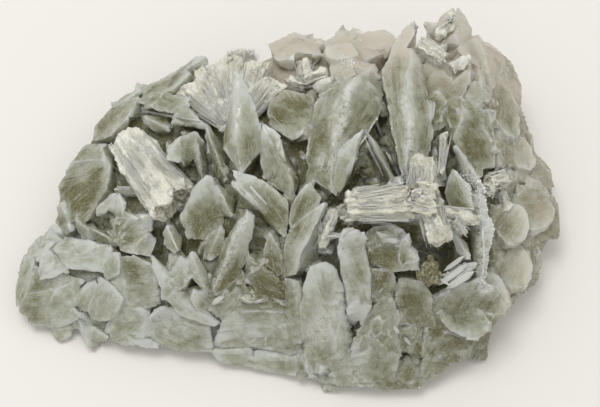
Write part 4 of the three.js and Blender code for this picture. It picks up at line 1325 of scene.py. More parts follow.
@dataclass
class FaceMap:
    """The flat faces of the crystals, with the long axis and the size of each."""

    bed: bpy.types.Object
    same_face: float = math.radians(16)
    edge_angle: float = math.radians(32)
    edge_step: float = 0.25
    smallest: float = 0.3

    def __post_init__(self) -> None:
        """Groups the triangles that lie in one face, and measures each group."""
        work = bmesh.new()
        work.from_mesh(self.bed.data)
        work.faces.ensure_lookup_table()
        self.tree = BVHTree.FromBMesh(work)
        self.group = np.full(len(work.faces), -1)
        count = 0
        for seed in work.faces:
            if self.group[seed.index] < 0:
                self.spread(seed, count)
                count += 1
        self.measure(work, count)
        self.find_edges(work)
        work.free()

    def spread(self, seed: bmesh.types.BMFace, number: int) -> None:
        """Numbers a triangle, and all round it that lie in the same face.

        Args:
            seed: the triangle.
            number: the number of the face.
        """
        self.group[seed.index] = number
        queue = [seed]
        while queue:
            for edge in queue.pop().edges:
                for other in edge.link_faces:
                    if self.group[other.index] < 0 and other.normal.angle(seed.normal, 9) < self.same_face:
                        self.group[other.index] = number
                        queue.append(other)

    def measure(self, work: bmesh.types.BMesh, count: int) -> None:
        """Finds the middle, the axes and the half sizes of each face.

        Args:
            work: the triangles.
            count: how many faces there are.
        """
        corners = np.array([[tuple(v.co) for v in face.verts[:3]] for face in work.faces]) / MM
        normals = np.array([tuple(face.normal) for face in work.faces])
        area = np.array([face.calc_area() for face in work.faces]) + 1e-12
        weight = np.bincount(self.group, area, count)

        def total(values: np.ndarray) -> np.ndarray:
            """Returns the sum over each face of its triangles' values times their areas."""
            return np.bincount(self.group, area * values, count)

        self.middle = np.stack([total(corners[:, :, axis].mean(axis=1)) / weight for axis in range(3)], 1)
        self.normal = unit(np.stack([total(normals[:, axis]) for axis in range(3)], 1))
        spread = corners - self.middle[self.group][:, None, :]
        moment = np.zeros((count, 3, 3))
        for row, column in np.ndindex(3, 3):
            share = (spread[:, :, row] * spread[:, :, column]).mean(axis=1)
            moment[:, row, column] = total(share) / weight
        self.along = np.linalg.eigh(moment)[1][:, :, 2]
        self.along *= np.where(self.along[:, 2] < 0, -1, 1)[:, None]
        self.across = unit(np.cross(self.normal, self.along))
        self.half_length = self.half_size(spread, self.along)
        self.half_width = self.half_size(spread, self.across)

    def half_size(self, spread: np.ndarray, axes: np.ndarray) -> np.ndarray:
        """Measures how far each face reaches.

        Args:
            spread: the triangles' corners, each from the middle of its face.
            axes: the direction to measure in, for each face.

        Returns:
            The half sizes.
        """
        far = np.abs(np.einsum("fkj,fj->fk", spread, axes[self.group])).max(axis=1)
        half = np.full(len(axes), self.smallest)
        np.maximum.at(half, self.group, far)
        return half

    def find_edges(self, work: bmesh.types.BMesh) -> None:
        """Marks points along the sharp outer edges, to measure distances from.

        Args:
            work: the triangles.
        """
        spots = []
        for edge in work.edges:
            if len(edge.link_faces) == 2 and edge.calc_face_angle_signed(0) > self.edge_angle:
                first, second = (np.array(v.co) / MM for v in edge.verts)
                steps = max(1, int(np.linalg.norm(second - first) / self.edge_step))
                spots += [first + (second - first) * step / steps for step in range(steps + 1)]
        self.edges = KDTree(len(spots))
        for number, spot in enumerate(spots):
            self.edges.insert(spot, number)
        self.edges.balance()

    def nearest(self, points: np.ndarray) -> tuple[np.ndarray, np.ndarray]:
        """Finds the nearest spots on the crystals.

        Args:
            points: one row for each.

        Returns:
            The spot that is nearest to each point, and the number of its face.
        """
        found = [self.tree.find_nearest(Vector(point)) for point in (points * MM).tolist()]
        spots, _, triangles, _ = zip(*found)
        return np.array([tuple(spot) for spot in spots]) / MM, self.group[np.array(triangles)]

    def edge_distance(self, points: np.ndarray) -> np.ndarray:
        """Returns each point's distance from the nearest sharp outer edge."""
        return np.array([self.edges.find(point)[2] for point in points.tolist()])

    def place(self, points: np.ndarray, owner: np.ndarray) -> tuple[np.ndarray, ...]:
        """Returns each point's place across and along its own face, from the face's middle."""
        offset = points - self.middle[owner]
        return tuple(np.einsum("ij,ij->i", offset, axes[owner]) for axes in (self.across, self.along))

    def pattern(self, points: np.ndarray, owner: np.ndarray, scale: Triple) -> np.ndarray:
        """Places points on patterns that run along their faces.

        Args:
            points: the points.
            owner: the number of each point's face.
            scale: how fast the pattern goes across and along a face, and from face to face.

        Returns:
            The place in the pattern of each point.
        """
        across, along = self.place(points, owner)
        return np.stack((across * scale[0], along * scale[1], owner * scale[2]), 1)


@dataclass
class CalciteBed:
    """The calcite blades and the rock under them."""

    finish: bpy.types.Material
    plates: bpy.types.NodeTree
    seed: int = 21
    voxel: float = 0.18
    triangles: int = 195000
    sharp: float = 34.0
    snap: float = 0.9
    fill: float = 1.3
    fill_from: float = 0.8
    fill_range: float = 5.0
    bend: float = 0.45
    bend_size: float = 7.5
    bend_rise: float = 4.0
    rugged: float = 1.1
    rugged_size: float = 4.5
    wall_slope: float = 0.06
    swell: float = 0.09
    swell_size: float = 6.5
    chip: float = 0.6
    chip_size: float = 1.3
    chip_reach: float = 0.4
    terrace: float = 0.035
    terrace_scale: Triple = (1.7, 0.1, 3.1)
    grain_scale: Triple = (2.6, 0.2, 1.7)
    crown: float = 0.04
    lean: float = 0.1
    most: float = 0.35
    # How fast the lean and the tone change from one face to the next.
    lean_turn: float = 2.399
    tone_turn: float = 1.93
    waver: float = 0.12
    waver_size: float = 1.7
    foot: float = 0.8
    # The height over which the painted shade of low places fades out.
    relief_range: float = 6.0
    crevice_passes: int = 3
    crevice_rounds: int = 12
    crevice_share: float = 0.9
    crevice_depth: float = 0.06
    # Where the beige crystals are: behind a line and right of another, and paler right of a third.
    # Each line has its place and the width over which the colour comes in.
    beige_back: Pair = (12.0, 8.0)
    beige_left: Pair = (-12.0, 10.0)
    beige_right: Pair = (34.0, 8.0)
    beige_share: float = 0.6
    wear_seed: int = 4
    bend_seed: int = 31
    # Where frost lies, with painted highlights along some crests, where the crystals are hazy, and where they
    # are clearer than that.
    frost: tuple[Stroke, ...] = (
        Stroke(((30.5, -1.6, 26.8), (32.3, -3.5, 28.1), (34.0, -7.7, 24.9)), 1.6),
        Stroke(((34.0, -7.7, 24.9), (34.1, -11.4, 22.6), (34.0, -14.5, 20.3), (34.2, -17.7, 17.8)), 1.3, 0.9),
        Stroke(((27.1, -17.8, 22.0), (28.4, -17.1, 22.3), (30.1, -16.1, 22.7)), 1.4),
        Stroke(((7.8, -22.5, 18.0), (5.2, -25.2, 12.4)), 1.6, 0.6),
        # The strokes under 1 mm in radius are painted highlights along the crests of large crystals, drawn as
        # frost.
        Stroke(((19.5, 11.1, 33.0), (20.3, 5.5, 32.9), (19.7, -2.1, 31.4)), 0.5, 0.7),
        Stroke(((10.6, 12.6, 33.4), (9.4, 7.0, 32.6), (8.0, 3.5, 32.0)), 0.5, 0.8),
        Stroke(((9.7, 3.6, 31.0), (7.5, -0.1, 30.9), (6.4, -3.7, 25.8)), 0.6, 0.7),
        Stroke(((-7.1, -7.5, 24.8), (-8.5, -10.6, 23.0), (-12.9, -16.3, 15.8)), 0.7, 0.6),
        Stroke(((11.3, -29.9, 5.4), (13.7, -31.1, 4.2)), 1.2, 0.6),
        Stroke(((18.0, -11.2, 28.8), (20.2, -13.3, 27.7), (21.6, -16.4, 25.4)), 0.5, 0.7),
    )
    haze: tuple[Stroke, ...] = (
        Stroke(((-44.0, -10.0, 6.0), (-34.0, -20.0, 7.0), (-22.0, -24.0, 8.0)), 6.0, 0.9),
        Stroke(((-20.0, -26.0, 6.0), (-4.0, -28.0, 6.0), (6.0, -27.0, 8.0)), 6.0, 1.3),
        Stroke(((-43.0, 2.0, 9.0), (-38.0, 14.0, 8.0), (-26.0, 22.0, 10.0)), 5.0, 0.5),
        Stroke(((4.0, 24.0, 26.0), (14.0, 25.0, 27.0), (28.0, 26.0, 27.0)), 6.0, 1.0),
        Stroke(((22.0, -27.0, 9.0), (34.0, -20.0, 13.0), (42.0, -8.0, 12.0)), 6.0, 0.4),
        Stroke(((34.0, 16.0, 22.0), (42.0, 4.0, 14.0)), 6.0, 0.4),
        Stroke(((6.0, -16.0, 24.5), (7.5, -19.0, 22.0), (6.4, -25.0, 14.0)), 4.0, 1.4),
        Stroke(((12.0, 10.0, 33.0), (9.0, 3.0, 31.0)), 2.2, 0.35),
        Stroke(((-7.7, 13.4, 32.1), (-7.3, 0.5, 27.6)), 2.5, 0.7),
        Stroke(((20.0, 12.0, 33.0), (19.8, -2.0, 31.0)), 2.2, 0.5),
    )
    dull: tuple[Stroke, ...] = (
        Stroke(((-9.5, -18.5, 19.0), (-2.0, -20.5, 18.0)), 3.6, 0.5),
        Stroke(((24.0, -20.5, 16.0), (33.0, -22.5, 13.0)), 4.0, 0.45),
    )
    rim: tuple[SmallBlade, ...] = (
        SmallBlade((43.8, 2.6, 13.4), (43.8, -6.8, 12.6), 9.4, 1.6, (0.26, -0.1, 1.0)),
        SmallBlade((37.6, -1.6, 17.8), (40.6, -10.4, 15.4), 8.0, 1.6, (0.26, -0.2, 1.0)),
        SmallBlade((35.8, 22.6, 21.6), (40.6, 8.6, 18.0), 7.4, 1.6, (0.45, -0.05, 0.9)),
        SmallBlade((39.8, 11.8, 16.8), (43.4, 4.0, 15.0), 6.4, 1.4, (0.35, 0.1, 1.0)),
        SmallBlade((38.6, -8.4, 13.4), (42.0, -16.0, 10.4), 7.6, 1.5, (0.3, -0.3, 1.0)),
        SmallBlade((32.6, -14.2, 15.8), (38.0, -21.4, 11.6), 7.6, 1.4, (0.25, -0.4, 1.0)),
        SmallBlade((26.0, -20.4, 15.4), (35.6, -24.4, 10.8), 7.0, 1.3, (0.15, -0.5, 1.0)),
        SmallBlade((12.0, 26.2, 24.6), (20.0, 25.4, 24.8), 6.0, 1.5, (0.1, 0.35, 0.95)),
        SmallBlade((6.6, 23.4, 26.0), (13.0, 21.4, 27.6), 5.4, 1.4, (0.05, 0.2, 1.0)),
    )
    growths: tuple[Growth, ...] = (
        Growth(Habit.SHINGLE, 110, (4.0, 10.0), 0.5, (0.4, 0.7), 0.6, (0.4, 1.0), 1.5, 0.85),
        Growth(Habit.LEANING, 300, (4.5, 9.5), 0.45, (0.7, 1.1), 0.32, (0.0, 0.45), 3.0, 0.6, 0.4),
    )

    def build(self) -> bpy.types.Object:
        """Makes the bed.

        Returns:
            The piece.
        """
        bed = merged_copy(Node.CALCITE, "calcite_bed")
        intergrowth = Intergrowth(bed, self.seed)
        for growth in self.growths:
            intergrowth.grow(growth, self.plates, self.finish)
        rounded = PlateMaker(self.plates, self.finish, sides=11, taper=0.86)
        intergrowth.join(rounded.at([blade.spot() for blade in self.rim], "rim"))
        faces = FaceMap(bed)
        remeshed(bed, self.voxel)
        self.weather(bed, faces)
        thinned(bed, self.triangles)
        self.mark(bed, faces)
        self.warp(bed)
        run_tree(bed, LightReach().build(), {"Rays": LightReach.RAYS})
        shade(bed, self.sharp)
        finish_piece(bed, self.finish, Slot.CALCITE, (Node.CALCITE,))
        return bed

    def weather(self, bed: bpy.types.Object, faces: FaceMap) -> None:
        """Crowns and tilts the faces, steps them with growth lines, and wears the edges.

        Args:
            bed: the piece, evenly meshed.
            faces: the crystals' faces.
        """
        surface = Surface(bed.data)
        points = surface.points()
        spots, owner = faces.nearest(points)
        points += self.snap * (spots - points)
        surface.move_to(points)
        normals = surface.normals()
        rim = np.exp(-faces.edge_distance(points) / self.chip_reach)
        # Each pattern is read at a place of its own, so that no two line up.
        noise = LatticeNoise(self.wear_seed)
        half = faces.half_width[owner]
        side = (faces.place(points, owner)[0] / half).clip(-1, 1)
        lean = np.sin(owner * self.lean_turn)
        offset = np.minimum(self.crown * half, self.most) * (1 - side * side)
        offset += np.minimum(self.lean * half, self.most) * lean * side
        offset += self.swell * noise.at(points, self.swell_size, 2)
        offset -= self.chip * rim * noise.at(points + 40, self.chip_size, 2).clip(0, 1)
        offset += self.terrace * noise.at(faces.pattern(points, owner, self.terrace_scale) + 11, 1.0, 2)
        deep = rising(-HeightMap(points).over(points), self.fill_from, self.fill_range)
        offset += self.fill * deep * (normals[:, 2] * 2 + 0.8).clip(0, 1)
        wall = np.abs(faces.normal[owner, 2]) < self.wall_slope
        broken = (noise.at(points + 70, self.rugged_size, 4) + 0.5).clip(0, 1.4)
        offset -= np.where(wall, self.rugged * broken, 0)
        moved = points + normals * offset[:, None]
        for axis in range(3):
            moved[:, axis] += self.waver * noise.at(points + 60 * (axis + 1), self.waver_size, 2)
        rise = rising(points[:, 2], 0.0, self.foot)[:, None]
        surface.move_to(inside_box(points + (moved - points) * rise))
        self.close_crevices(surface)

    def close_crevices(self, surface: Surface) -> None:
        """Rounds out the narrow crevices where crystals have grown together.

        Args:
            surface: the weathered skin.
        """
        for _ in range(self.crevice_passes):
            points = surface.points()
            gap = surface.averaged(points, self.crevice_rounds) - points
            sunk = np.einsum("ij,ij->i", gap, surface.normals())
            share = self.crevice_share * rising(sunk, 0.0, self.crevice_depth) * (points[:, 2] > 0.5)
            surface.move_to(inside_box(points + share[:, None] * gap))

    def warp(self, bed: bpy.types.Object) -> None:
        """Bends the crystals a little, so that no edge stays quite straight.

        Args:
            bed: the piece, already marked.
        """
        surface = Surface(bed.data)
        points = surface.points()
        noise = LatticeNoise(self.bend_seed)
        shift = noise.shifts(points, 90, self.bend_size, 2)
        shift += 0.3 * noise.shifts(points, 30, self.bend_size / 3)
        rise = rising(points[:, 2], 0.0, self.bend_rise)[:, None]
        surface.move_to(inside_box(points + self.bend * rise * shift))

    def mark(self, bed: bpy.types.Object, faces: FaceMap) -> None:
        """Paints the growth lines, the edges, the painted light of the tips, the painted shade of low places,
        and the frosty, hazy and beige places, the frost with painted highlights along some crests.

        Args:
            bed: the piece.
            faces: the crystals' faces.
        """
        surface = Surface(bed.data)
        points = surface.points()
        owner = faces.nearest(points)[1]
        surface.paint("grain", faces.pattern(points, owner, self.grain_scale))
        surface.paint("frost", over_strokes(points, self.frost))
        surface.paint("tone", 0.5 + 0.5 * np.sin(owner * self.tone_turn))
        # Painted light: the upper end of each face is painted paler.
        along = faces.place(points, owner)[1]
        surface.paint("tip_light", np.clip(0.5 + 0.5 * along / faces.half_length[owner], 0, 1))
        surface.paint("edge", faces.edge_distance(points).clip(0, 9))
        # Painted shade: places lower than the crystals around them are painted darker and more olive.
        surface.paint("relief", np.clip(0.5 + HeightMap(points).over(points) / self.relief_range, 0, 1))
        haze = over_strokes(points, self.haze)
        for stroke in self.dull:
            haze -= stroke.strength * stroke.nearness(points)
        surface.paint("haze", haze)
        back = rising(points[:, 1], *self.beige_back) * rising(points[:, 0], *self.beige_left)
        right = rising(points[:, 0], *self.beige_right) * self.beige_share
        surface.paint("beige", np.maximum(back, right))


# Strontianite

@dataclass(frozen=True)
class Stick:
    """One straight bundle of needles, in millimetres in the drawing frame."""

    start: Triple
    end: Triple
    start_radius: float
    end_radius: float
    flat: float = 1.0

    def frame(self) -> tuple[np.ndarray, ...]:
        """Works out how the stick lies.

        Returns:
            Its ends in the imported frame, and the directions along it, to its side and up.
        """
        start = np.array(self.start) + DRAWING_ORIGIN
        end = np.array(self.end) + DRAWING_ORIGIN
        along = unit(end - start)
        side = unit(np.cross(along, (0.0, 0.0, 1.0)))
        return start, end, along, side, np.cross(side, along)


@dataclass(frozen=True)
class Needles:
    """Needles that are laid round sticks, in millimetres."""

    tree: bpy.types.NodeTree
    finish: bpy.types.Material
    width: float
    inner: float
    ragged: float
    shortest: float
    stray: float

    def lay(self, work: bmesh.types.BMesh, stick: Stick, radii: Pair, count: int, seed: int) -> None:
        """Lays needles round a stick.

        Args:
            work: the mesh to add them to.
            stick: the stick.
            radii: how far from its axis they lie, at its start and at its end.
            count: how many.
            seed: the start of the random numbers.
        """
        start, end, _, side, up = stick.frame()
        carrier = blank("needles")
        run_tree(carrier, self.tree, {
            "Count": count, "Seed": seed, "Material": self.finish,
            "Start": tuple(start * MM), "End": tuple(end * MM),
            "Side": tuple(side), "Up": tuple(up * stick.flat),
            "Start Radius": radii[0] * MM, "End Radius": radii[1] * MM,
            "Inner Share": self.inner, "Ragged": self.ragged, "Shortest": self.shortest,
            "Width": self.width * MM, "Stray": self.stray * MM,
        })
        work.from_mesh(carrier.data)
        bpy.data.objects.remove(carrier)


@dataclass
class Sheaf:
    """A sheaf of strontianite: a ribbed heart and the needles around it."""

    node: Node
    sticks: tuple[Stick, ...]
    finish: bpy.types.Material
    bundle: bpy.types.NodeTree
    seed: int
    voxel: float = 0.2
    rib: float = 0.12
    lump: float = 0.5
    grain: float = 0.2
    # How large the ribs, the lumps, the grains and the strands of the frayed ends are.
    rib_size: float = 0.5
    lump_size: float = 2.6
    grain_size: float = 0.7
    strand_size: float = 0.9
    needle: float = 0.07
    crowd: float = 2.0
    fewest: int = 6
    ragged: float = 0.2
    shortest: float = 0.1
    stray: float = 0.9
    fray: float = 1.8
    end_zone: float = 1.0
    inner: float = 0.72
    hug: float = 0.95
    triangles: int = 60000
    tone: float = 0.5
    sharp: float = 40.0
    # How much slower the fibres' pattern goes along a stick, and how far apart those of two sticks are.
    stretch: float = 0.09
    apart: float = 7.7
    # From how far out the needles are open to the light, and over what width.
    open_from: Pair = (0.72, 0.26)

    def build(self) -> bpy.types.Object:
        """Makes the sheaf.

        Returns:
            The piece.
        """
        piece = merged_copy(self.node, self.node.value + "_needles")
        remeshed(piece, self.voxel)
        self.rib_heart(piece)
        thinned(piece, self.triangles)
        # The heart's tone is even, as each needle has its own.
        Surface(piece.data).paint("tone", np.full(len(piece.data.vertices), self.tone))
        self.add_needles(piece)
        self.paint_grain(piece)
        shade(piece, self.sharp)
        finish_piece(piece, self.finish, Slot.STRONTIANITE, (self.node,))
        return piece

    def along_sticks(self, points: np.ndarray) -> tuple[np.ndarray, np.ndarray]:
        """Finds each point's stretched place on its stick.

        Args:
            points: in millimetres.

        Returns:
            The place with the length shortened, so that noise over it makes fibres, and how far out it is,
            1 at the stick's own radius.
        """
        best = np.full(len(points), 1e9)
        place = np.zeros((len(points), 3))
        for number, stick in enumerate(self.sticks):
            start, end, along, side, up = stick.frame()
            offset = points - start
            length = np.linalg.norm(end - start)
            reach = offset @ along
            share = (reach / length).clip(0, 1)
            radius = stick.start_radius + (stick.end_radius - stick.start_radius) * share
            lateral = offset - reach[:, None] * along
            outside = np.maximum(reach - length, 0) + np.maximum(-reach, 0)
            far = (np.hypot(lateral @ side, lateral @ up / stick.flat) + outside) / radius
            mine = far < best
            best[mine] = far[mine]
            wide = (stick.end_radius + stick.start_radius) / 2 / radius
            local = np.stack(((lateral @ side) * wide, (lateral @ up) * wide, reach * self.stretch), 1)
            place[mine] = local[mine] + number * self.apart
        return place, best

    def drift(self, points: np.ndarray) -> np.ndarray:
        """Returns how far the fibres stray from straight at each point."""
        return LatticeNoise(self.seed).shifts(points, 15, 3.2, 2)

    def rib_heart(self, piece: bpy.types.Object) -> None:
        """Cuts fibres into the heart's skin and frays its ends.

        Args:
            piece: the heart, evenly meshed.
        """
        surface = Surface(piece.data)
        points, normals = surface.points(), surface.normals()
        place, _ = self.along_sticks(points)
        noise = LatticeNoise(self.seed)
        ribs = noise.at((place + 0.8 * self.drift(points)) * (1.0, 1.0, 2.2), self.rib_size, 3)
        lumps = noise.at(points + 30, self.lump_size, 2)
        grains = noise.at(points + 50, self.grain_size, 2)
        offset = self.rib * (ribs - 0.5) + self.lump * lumps + self.grain * grains
        for number, stick in enumerate(self.sticks):
            start, end, along, _, _ = stick.frame()
            length = np.linalg.norm(end - start)
            facing = np.abs(normals @ along)
            reach = (points - start) @ along
            outer = np.maximum(reach - length, -reach) > -self.end_zone
            close = np.linalg.norm(points - (start + end) / 2, axis=1) < length / 2 + stick.end_radius
            across = np.stack((place[:, 0], place[:, 1], np.full(len(points), number)), 1)
            strands = noise.at(across, self.strand_size, 2)
            offset -= np.where(outer & close, self.fray * facing * np.abs(strands), 0)
        surface.move_to(points + normals * offset[:, None])

    def add_needles(self, piece: bpy.types.Object) -> None:
        """Lays needles round each stick and joins them to the heart.

        Args:
            piece: the heart.
        """
        needles = Needles(
            self.bundle, self.finish, self.needle, self.inner, self.ragged, self.shortest, self.stray
        )
        inset = self.needle * 0.5
        work = bmesh.new()
        work.from_mesh(piece.data)
        for number, stick in enumerate(self.sticks):
            round_way = math.tau * (stick.start_radius + stick.end_radius) / 2
            count = max(self.fewest, int(self.crowd * round_way / self.needle / 2))
            radii = (stick.start_radius * self.hug - inset, stick.end_radius * self.hug - inset)
            needles.lay(work, stick, radii, count, self.seed * 31 + number)
        work.to_mesh(piece.data)
        work.free()

    def paint_grain(self, piece: bpy.types.Object) -> None:
        """Stores the stretched place that the finish draws its fibres over.

        Args:
            piece: the sheaf.
        """
        surface = Surface(piece.data)
        surface.move_to(inside_box(surface.points()))
        points = surface.points()
        place, far = self.along_sticks(points)
        surface.paint("grain", (place * (1.0, 1.0, 1.8) + 0.5 * self.drift(points)) / FIBRE)
        # How far out each point lies, which the finish turns into painted shade in the inner grooves.
        surface.paint("open", rising(far, *self.open_from))


FAN_FLAT = 0.7
STICKS: dict[Node, tuple[Stick, ...]] = {
    Node.FAN: (
        Stick((-11.4, 4.2, 23.4), (-20.6, 15.8, 16.6), 1.4, 3.0, FAN_FLAT),
        Stick((-11.4, 4.8, 24.0), (-17.0, 19.8, 17.6), 1.5, 3.2, FAN_FLAT),
        Stick((-11.0, 5.4, 24.2), (-12.0, 20.4, 19.6), 1.6, 3.2, FAN_FLAT),
        Stick((-10.4, 5.8, 24.4), (-7.8, 18.2, 21.4), 1.6, 3.3, FAN_FLAT),
        Stick((-9.8, 5.6, 24.6), (-4.8, 13.2, 24.2), 1.3, 3.3, FAN_FLAT),
        Stick((-11.0, 17.0, 19.8), (-10.6, 22.6, 18.6), 2.6, 3.2, 0.6),
    ),
    Node.LEFT_SHEAF: (Stick((-31.9, 6.4, 15.6), (-21.8, -7.9, 18.2), 3.9, 5.2, 0.8),),
    Node.LEFT_STUB: (Stick((-33.4, -3.1, 14.4), (-28.4, -3.7, 14.6), 0.8, 0.9),),
    Node.TOP_KNOBS: (
        Stick((1.2, 13.4, 22.8), (-2.4, 14.0, 23.2), 1.2, 1.5),
        Stick((1.0, 13.4, 22.6), (0.8, 19.0, 22.0), 1.3, 1.7),
        Stick((0.8, 14.0, 23.0), (5.0, 15.4, 23.6), 1.3, 1.6),
    ),
    Node.SMALL_NUB: (Stick((5.8, 17.2, 25.8), (8.0, 18.8, 26.6), 0.9, 1.1),),
    Node.UPPER_ARM: (
        Stick((20.4, 17.8, 31.2), (25.6, 15.0, 30.0), 1.8, 1.5),
        Stick((24.0, 15.8, 30.2), (25.8, 18.0, 30.6), 0.7, 0.5),
    ),
    Node.ARM_FRAGMENT: (Stick((26.4, 13.4, 29.1), (29.4, 15.8, 28.9), 1.1, 1.1),),
    Node.CREST_CRUST: (
        Stick((26.6, 24.8, 29.2), (27.0, 22.4, 29.4), 0.7, 0.7),
        Stick((27.0, 22.8, 29.2), (23.8, 21.0, 27.2), 0.8, 0.9),
    ),
    Node.MAIN_SHEAF: (
        Stick((7.6, -12.9, 30.4), (19.0, -12.3, 31.0), 2.9, 3.6),
        Stick((8.6, -10.6, 31.2), (14.0, -10.8, 32.0), 1.0, 1.4),
        Stick((18.6, -11.5, 31.4), (22.6, -12.5, 31.4), 4.0, 3.6),
        Stick((20.0, -10.7, 31.4), (20.6, -5.0, 33.0), 2.6, 2.3),
        Stick((21.4, -12.7, 30.8), (23.4, -18.4, 28.2), 2.6, 2.6),
        Stick((22.4, -13.4, 30.4), (30.4, -13.7, 26.0), 1.4, 1.1),
        Stick((25.4, -14.8, 29.4), (28.0, -16.6, 27.0), 0.9, 0.7),
    ),
    Node.PALE_BLADE: (Stick((6.0, -12.3, 28.4), (3.4, -17.6, 24.0), 1.3, 1.2, 0.6),),
    Node.UPRIGHT_BLADE: (Stick((23.9, -6.4, 28.0), (25.0, 1.8, 28.2), 0.7, 0.9),),
    Node.RIGHT_SHEAF: (
        Stick((32.6, -5.0, 22.4), (36.4, -3.8, 20.6), 1.7, 2.2),
        Stick((35.0, -5.0, 20.6), (36.8, -8.2, 17.6), 1.0, 0.8),
        Stick((34.0, -5.0, 21.6), (32.2, -7.4, 21.4), 0.9, 0.7),
    ),
}
SMOOTHER = {"rib": 0.06, "lump": 0.3, "crowd": 0.6}
CLUMPED = {"rib": 0.15, "lump": 0.75, "crowd": 1.0}
HABITS: dict[Node, dict[str, float]] = {
    Node.TOP_KNOBS: CLUMPED,
    Node.SMALL_NUB: CLUMPED,
    Node.CREST_CRUST: CLUMPED,
    Node.RIGHT_SHEAF: CLUMPED,
    Node.UPPER_ARM: SMOOTHER,
    Node.ARM_FRAGMENT: SMOOTHER,
    Node.PALE_BLADE: SMOOTHER,
    Node.MAIN_SHEAF: {"rib": 0.11, "lump": 0.5, "crowd": 1.4, "fray": 1.3, "tone": 0.2},
}
LOOSE_NEEDLES: tuple[Stick, ...] = (
    Stick((-22.3, 7.7, 19.4), (-17.0, 8.6, 14.5), 0.28, 0.2),
    Stick((-18.2, 0.5, 20.2), (-17.3, -1.8, 20.3), 0.3, 0.2),
    Stick((27.0, 6.2, 28.8), (27.8, 4.0, 29.4), 0.4, 0.25),
    Stick((15.2, 9.0, 25.7), (16.3, 0.9, 31.4), 0.25, 0.18),
    Stick((16.4, 5.9, 32.2), (15.2, 4.0, 31.6), 0.35, 0.25),
    Stick((10.6, -0.4, 32.2), (14.3, -6.8, 28.3), 0.2, 0.15),
    Stick((2.2, -17.3, 22.6), (2.3, -17.9, 17.5), 0.5, 0.3),
    Stick((4.4, -16.6, 25.6), (6.6, -17.7, 29.3), 0.8, 0.5),
    Stick((4.8, -16.2, 26.0), (8.2, -16.8, 27.4), 0.6, 0.35),
    Stick((3.4, -15.8, 26.2), (3.0, -12.0, 27.6), 0.5, 0.3),
    Stick((12.4, 5.0, 30.0), (15.0, 1.5, 23.4), 0.25, 0.2),
    Stick((15.1, -0.5, 25.5), (17.6, -6.1, 25.0), 0.25, 0.15),
    Stick((14.7, -1.9, 29.0), (16.8, -4.3, 24.0), 0.15, 0.25),
    Stick((14.2, -3.2, 27.0), (16.9, -3.5, 23.5), 0.2, 0.2),
    Stick((-29.4, 12.6, 14.4), (-16.4, 5.6, 23.8), 0.2, 0.15),
    Stick((-8.5, -8.1, 27.7), (-5.3, -11.4, 27.0), 0.55, 0.35),
)
DARK_RODS: tuple[Stick, ...] = (
    Stick((20.0, -16.9, 24.0), (25.7, -18.2, 20.0), 0.5, 0.4),
    Stick((22.4, -16.4, 24.0), (26.2, -16.7, 20.0), 0.35, 0.3),
    Stick((19.7, -18.2, 24.0), (24.1, -18.9, 20.0), 0.35, 0.3),
)


@dataclass
class LooseNeedles:
    """Thin wisps of needles that lie apart from the sheaves."""

    name: str
    sticks: tuple[Stick, ...]
    finish: bpy.types.Material
    slot: Slot
    bundle: bpy.types.NodeTree
    seed: int
    count: int = 9
    needle: float = 0.13
    ragged: float = 0.15
    shortest: float = 0.5
    stray: float = 0.1

    def build(self) -> bpy.types.Object:
        """Makes the wisps.

        Returns:
            The piece.
        """
        piece = blank(self.name)
        needles = Needles(
            self.bundle, self.finish, self.needle, 0.0, self.ragged, self.shortest, self.stray
        )
        work = bmesh.new()
        for number, stick in enumerate(self.sticks):
            radii = (stick.start_radius, stick.end_radius)
            needles.lay(work, stick, radii, self.count, self.seed * 17 + number)
        work.to_mesh(piece.data)
        work.free()
        surface = Surface(piece.data)
        surface.move_to(inside_box(surface.points()))
        surface.paint("grain", surface.points() / FIBRE)
        surface.paint("open", np.full(len(piece.data.vertices), 1.0))
        piece.data.shade_smooth()
        finish_piece(piece, self.finish, self.slot)
        return piece


@dataclass
class Sprinkle:
    """Small crystals set one by one or strewn along strokes over the bed."""

    name: str
    finish: bpy.types.Material
    plates: bpy.types.NodeTree
    slot: Slot = Slot.CALCITE
    blades: tuple[SmallBlade, ...] = ()
    strokes: tuple[Stroke, ...] = ()
    count: int = 0
    size: Pair = (0.12, 0.38)
    widths: Pair = (0.4, 0.9)
    thicknesses: Pair = (0.3, 0.6)
    tilt: float = 0.7
    sunk: float = 0.4
    seed: int = 5

    def build(self, bed: bpy.types.Object) -> bpy.types.Object:
        """Makes the crystals.

        Args:
            bed: what they are strewn over.

        Returns:
            The piece.
        """
        spots = [blade.spot() for blade in self.blades] + self.strewn(bed)
        piece = PlateMaker(self.plates, self.finish).at(spots, self.name)
        surface = Surface(piece.data)
        surface.move_to(inside_box(surface.points()))
        every = np.ones(len(piece.data.vertices))
        surface.paint("frost", every)
        surface.paint("open", every)
        finish_piece(piece, self.finish, self.slot)
        return piece

    def strewn(self, bed: bpy.types.Object) -> list[Spot]:
        """Draws spots along the strokes, where the bed doesn't face down.

        Args:
            bed: what the crystals are strewn over.

        Returns:
            The spots.
        """
        if not self.strokes:
            return []
        spots = []
        chance = np.random.default_rng(self.seed)
        surface = Surface(bed.data)
        points, normals = surface.points(), surface.normals()
        weight = over_strokes(points, self.strokes) * (normals[:, 2] > -0.1)
        for index in chance.choice(len(points), self.count, p=weight / weight.sum()):
            face = unit(normals[index] + self.tilt * chance.normal(size=3))
            length = chance.uniform(*self.size)
            width = length * chance.uniform(*self.widths)
            thickness = length * chance.uniform(*self.thicknesses)
            place = points[index] - face * thickness * self.sunk
            spots.append((place, face, chance.normal(size=3), np.array((length / 2, width / 2, thickness))))
        return spots


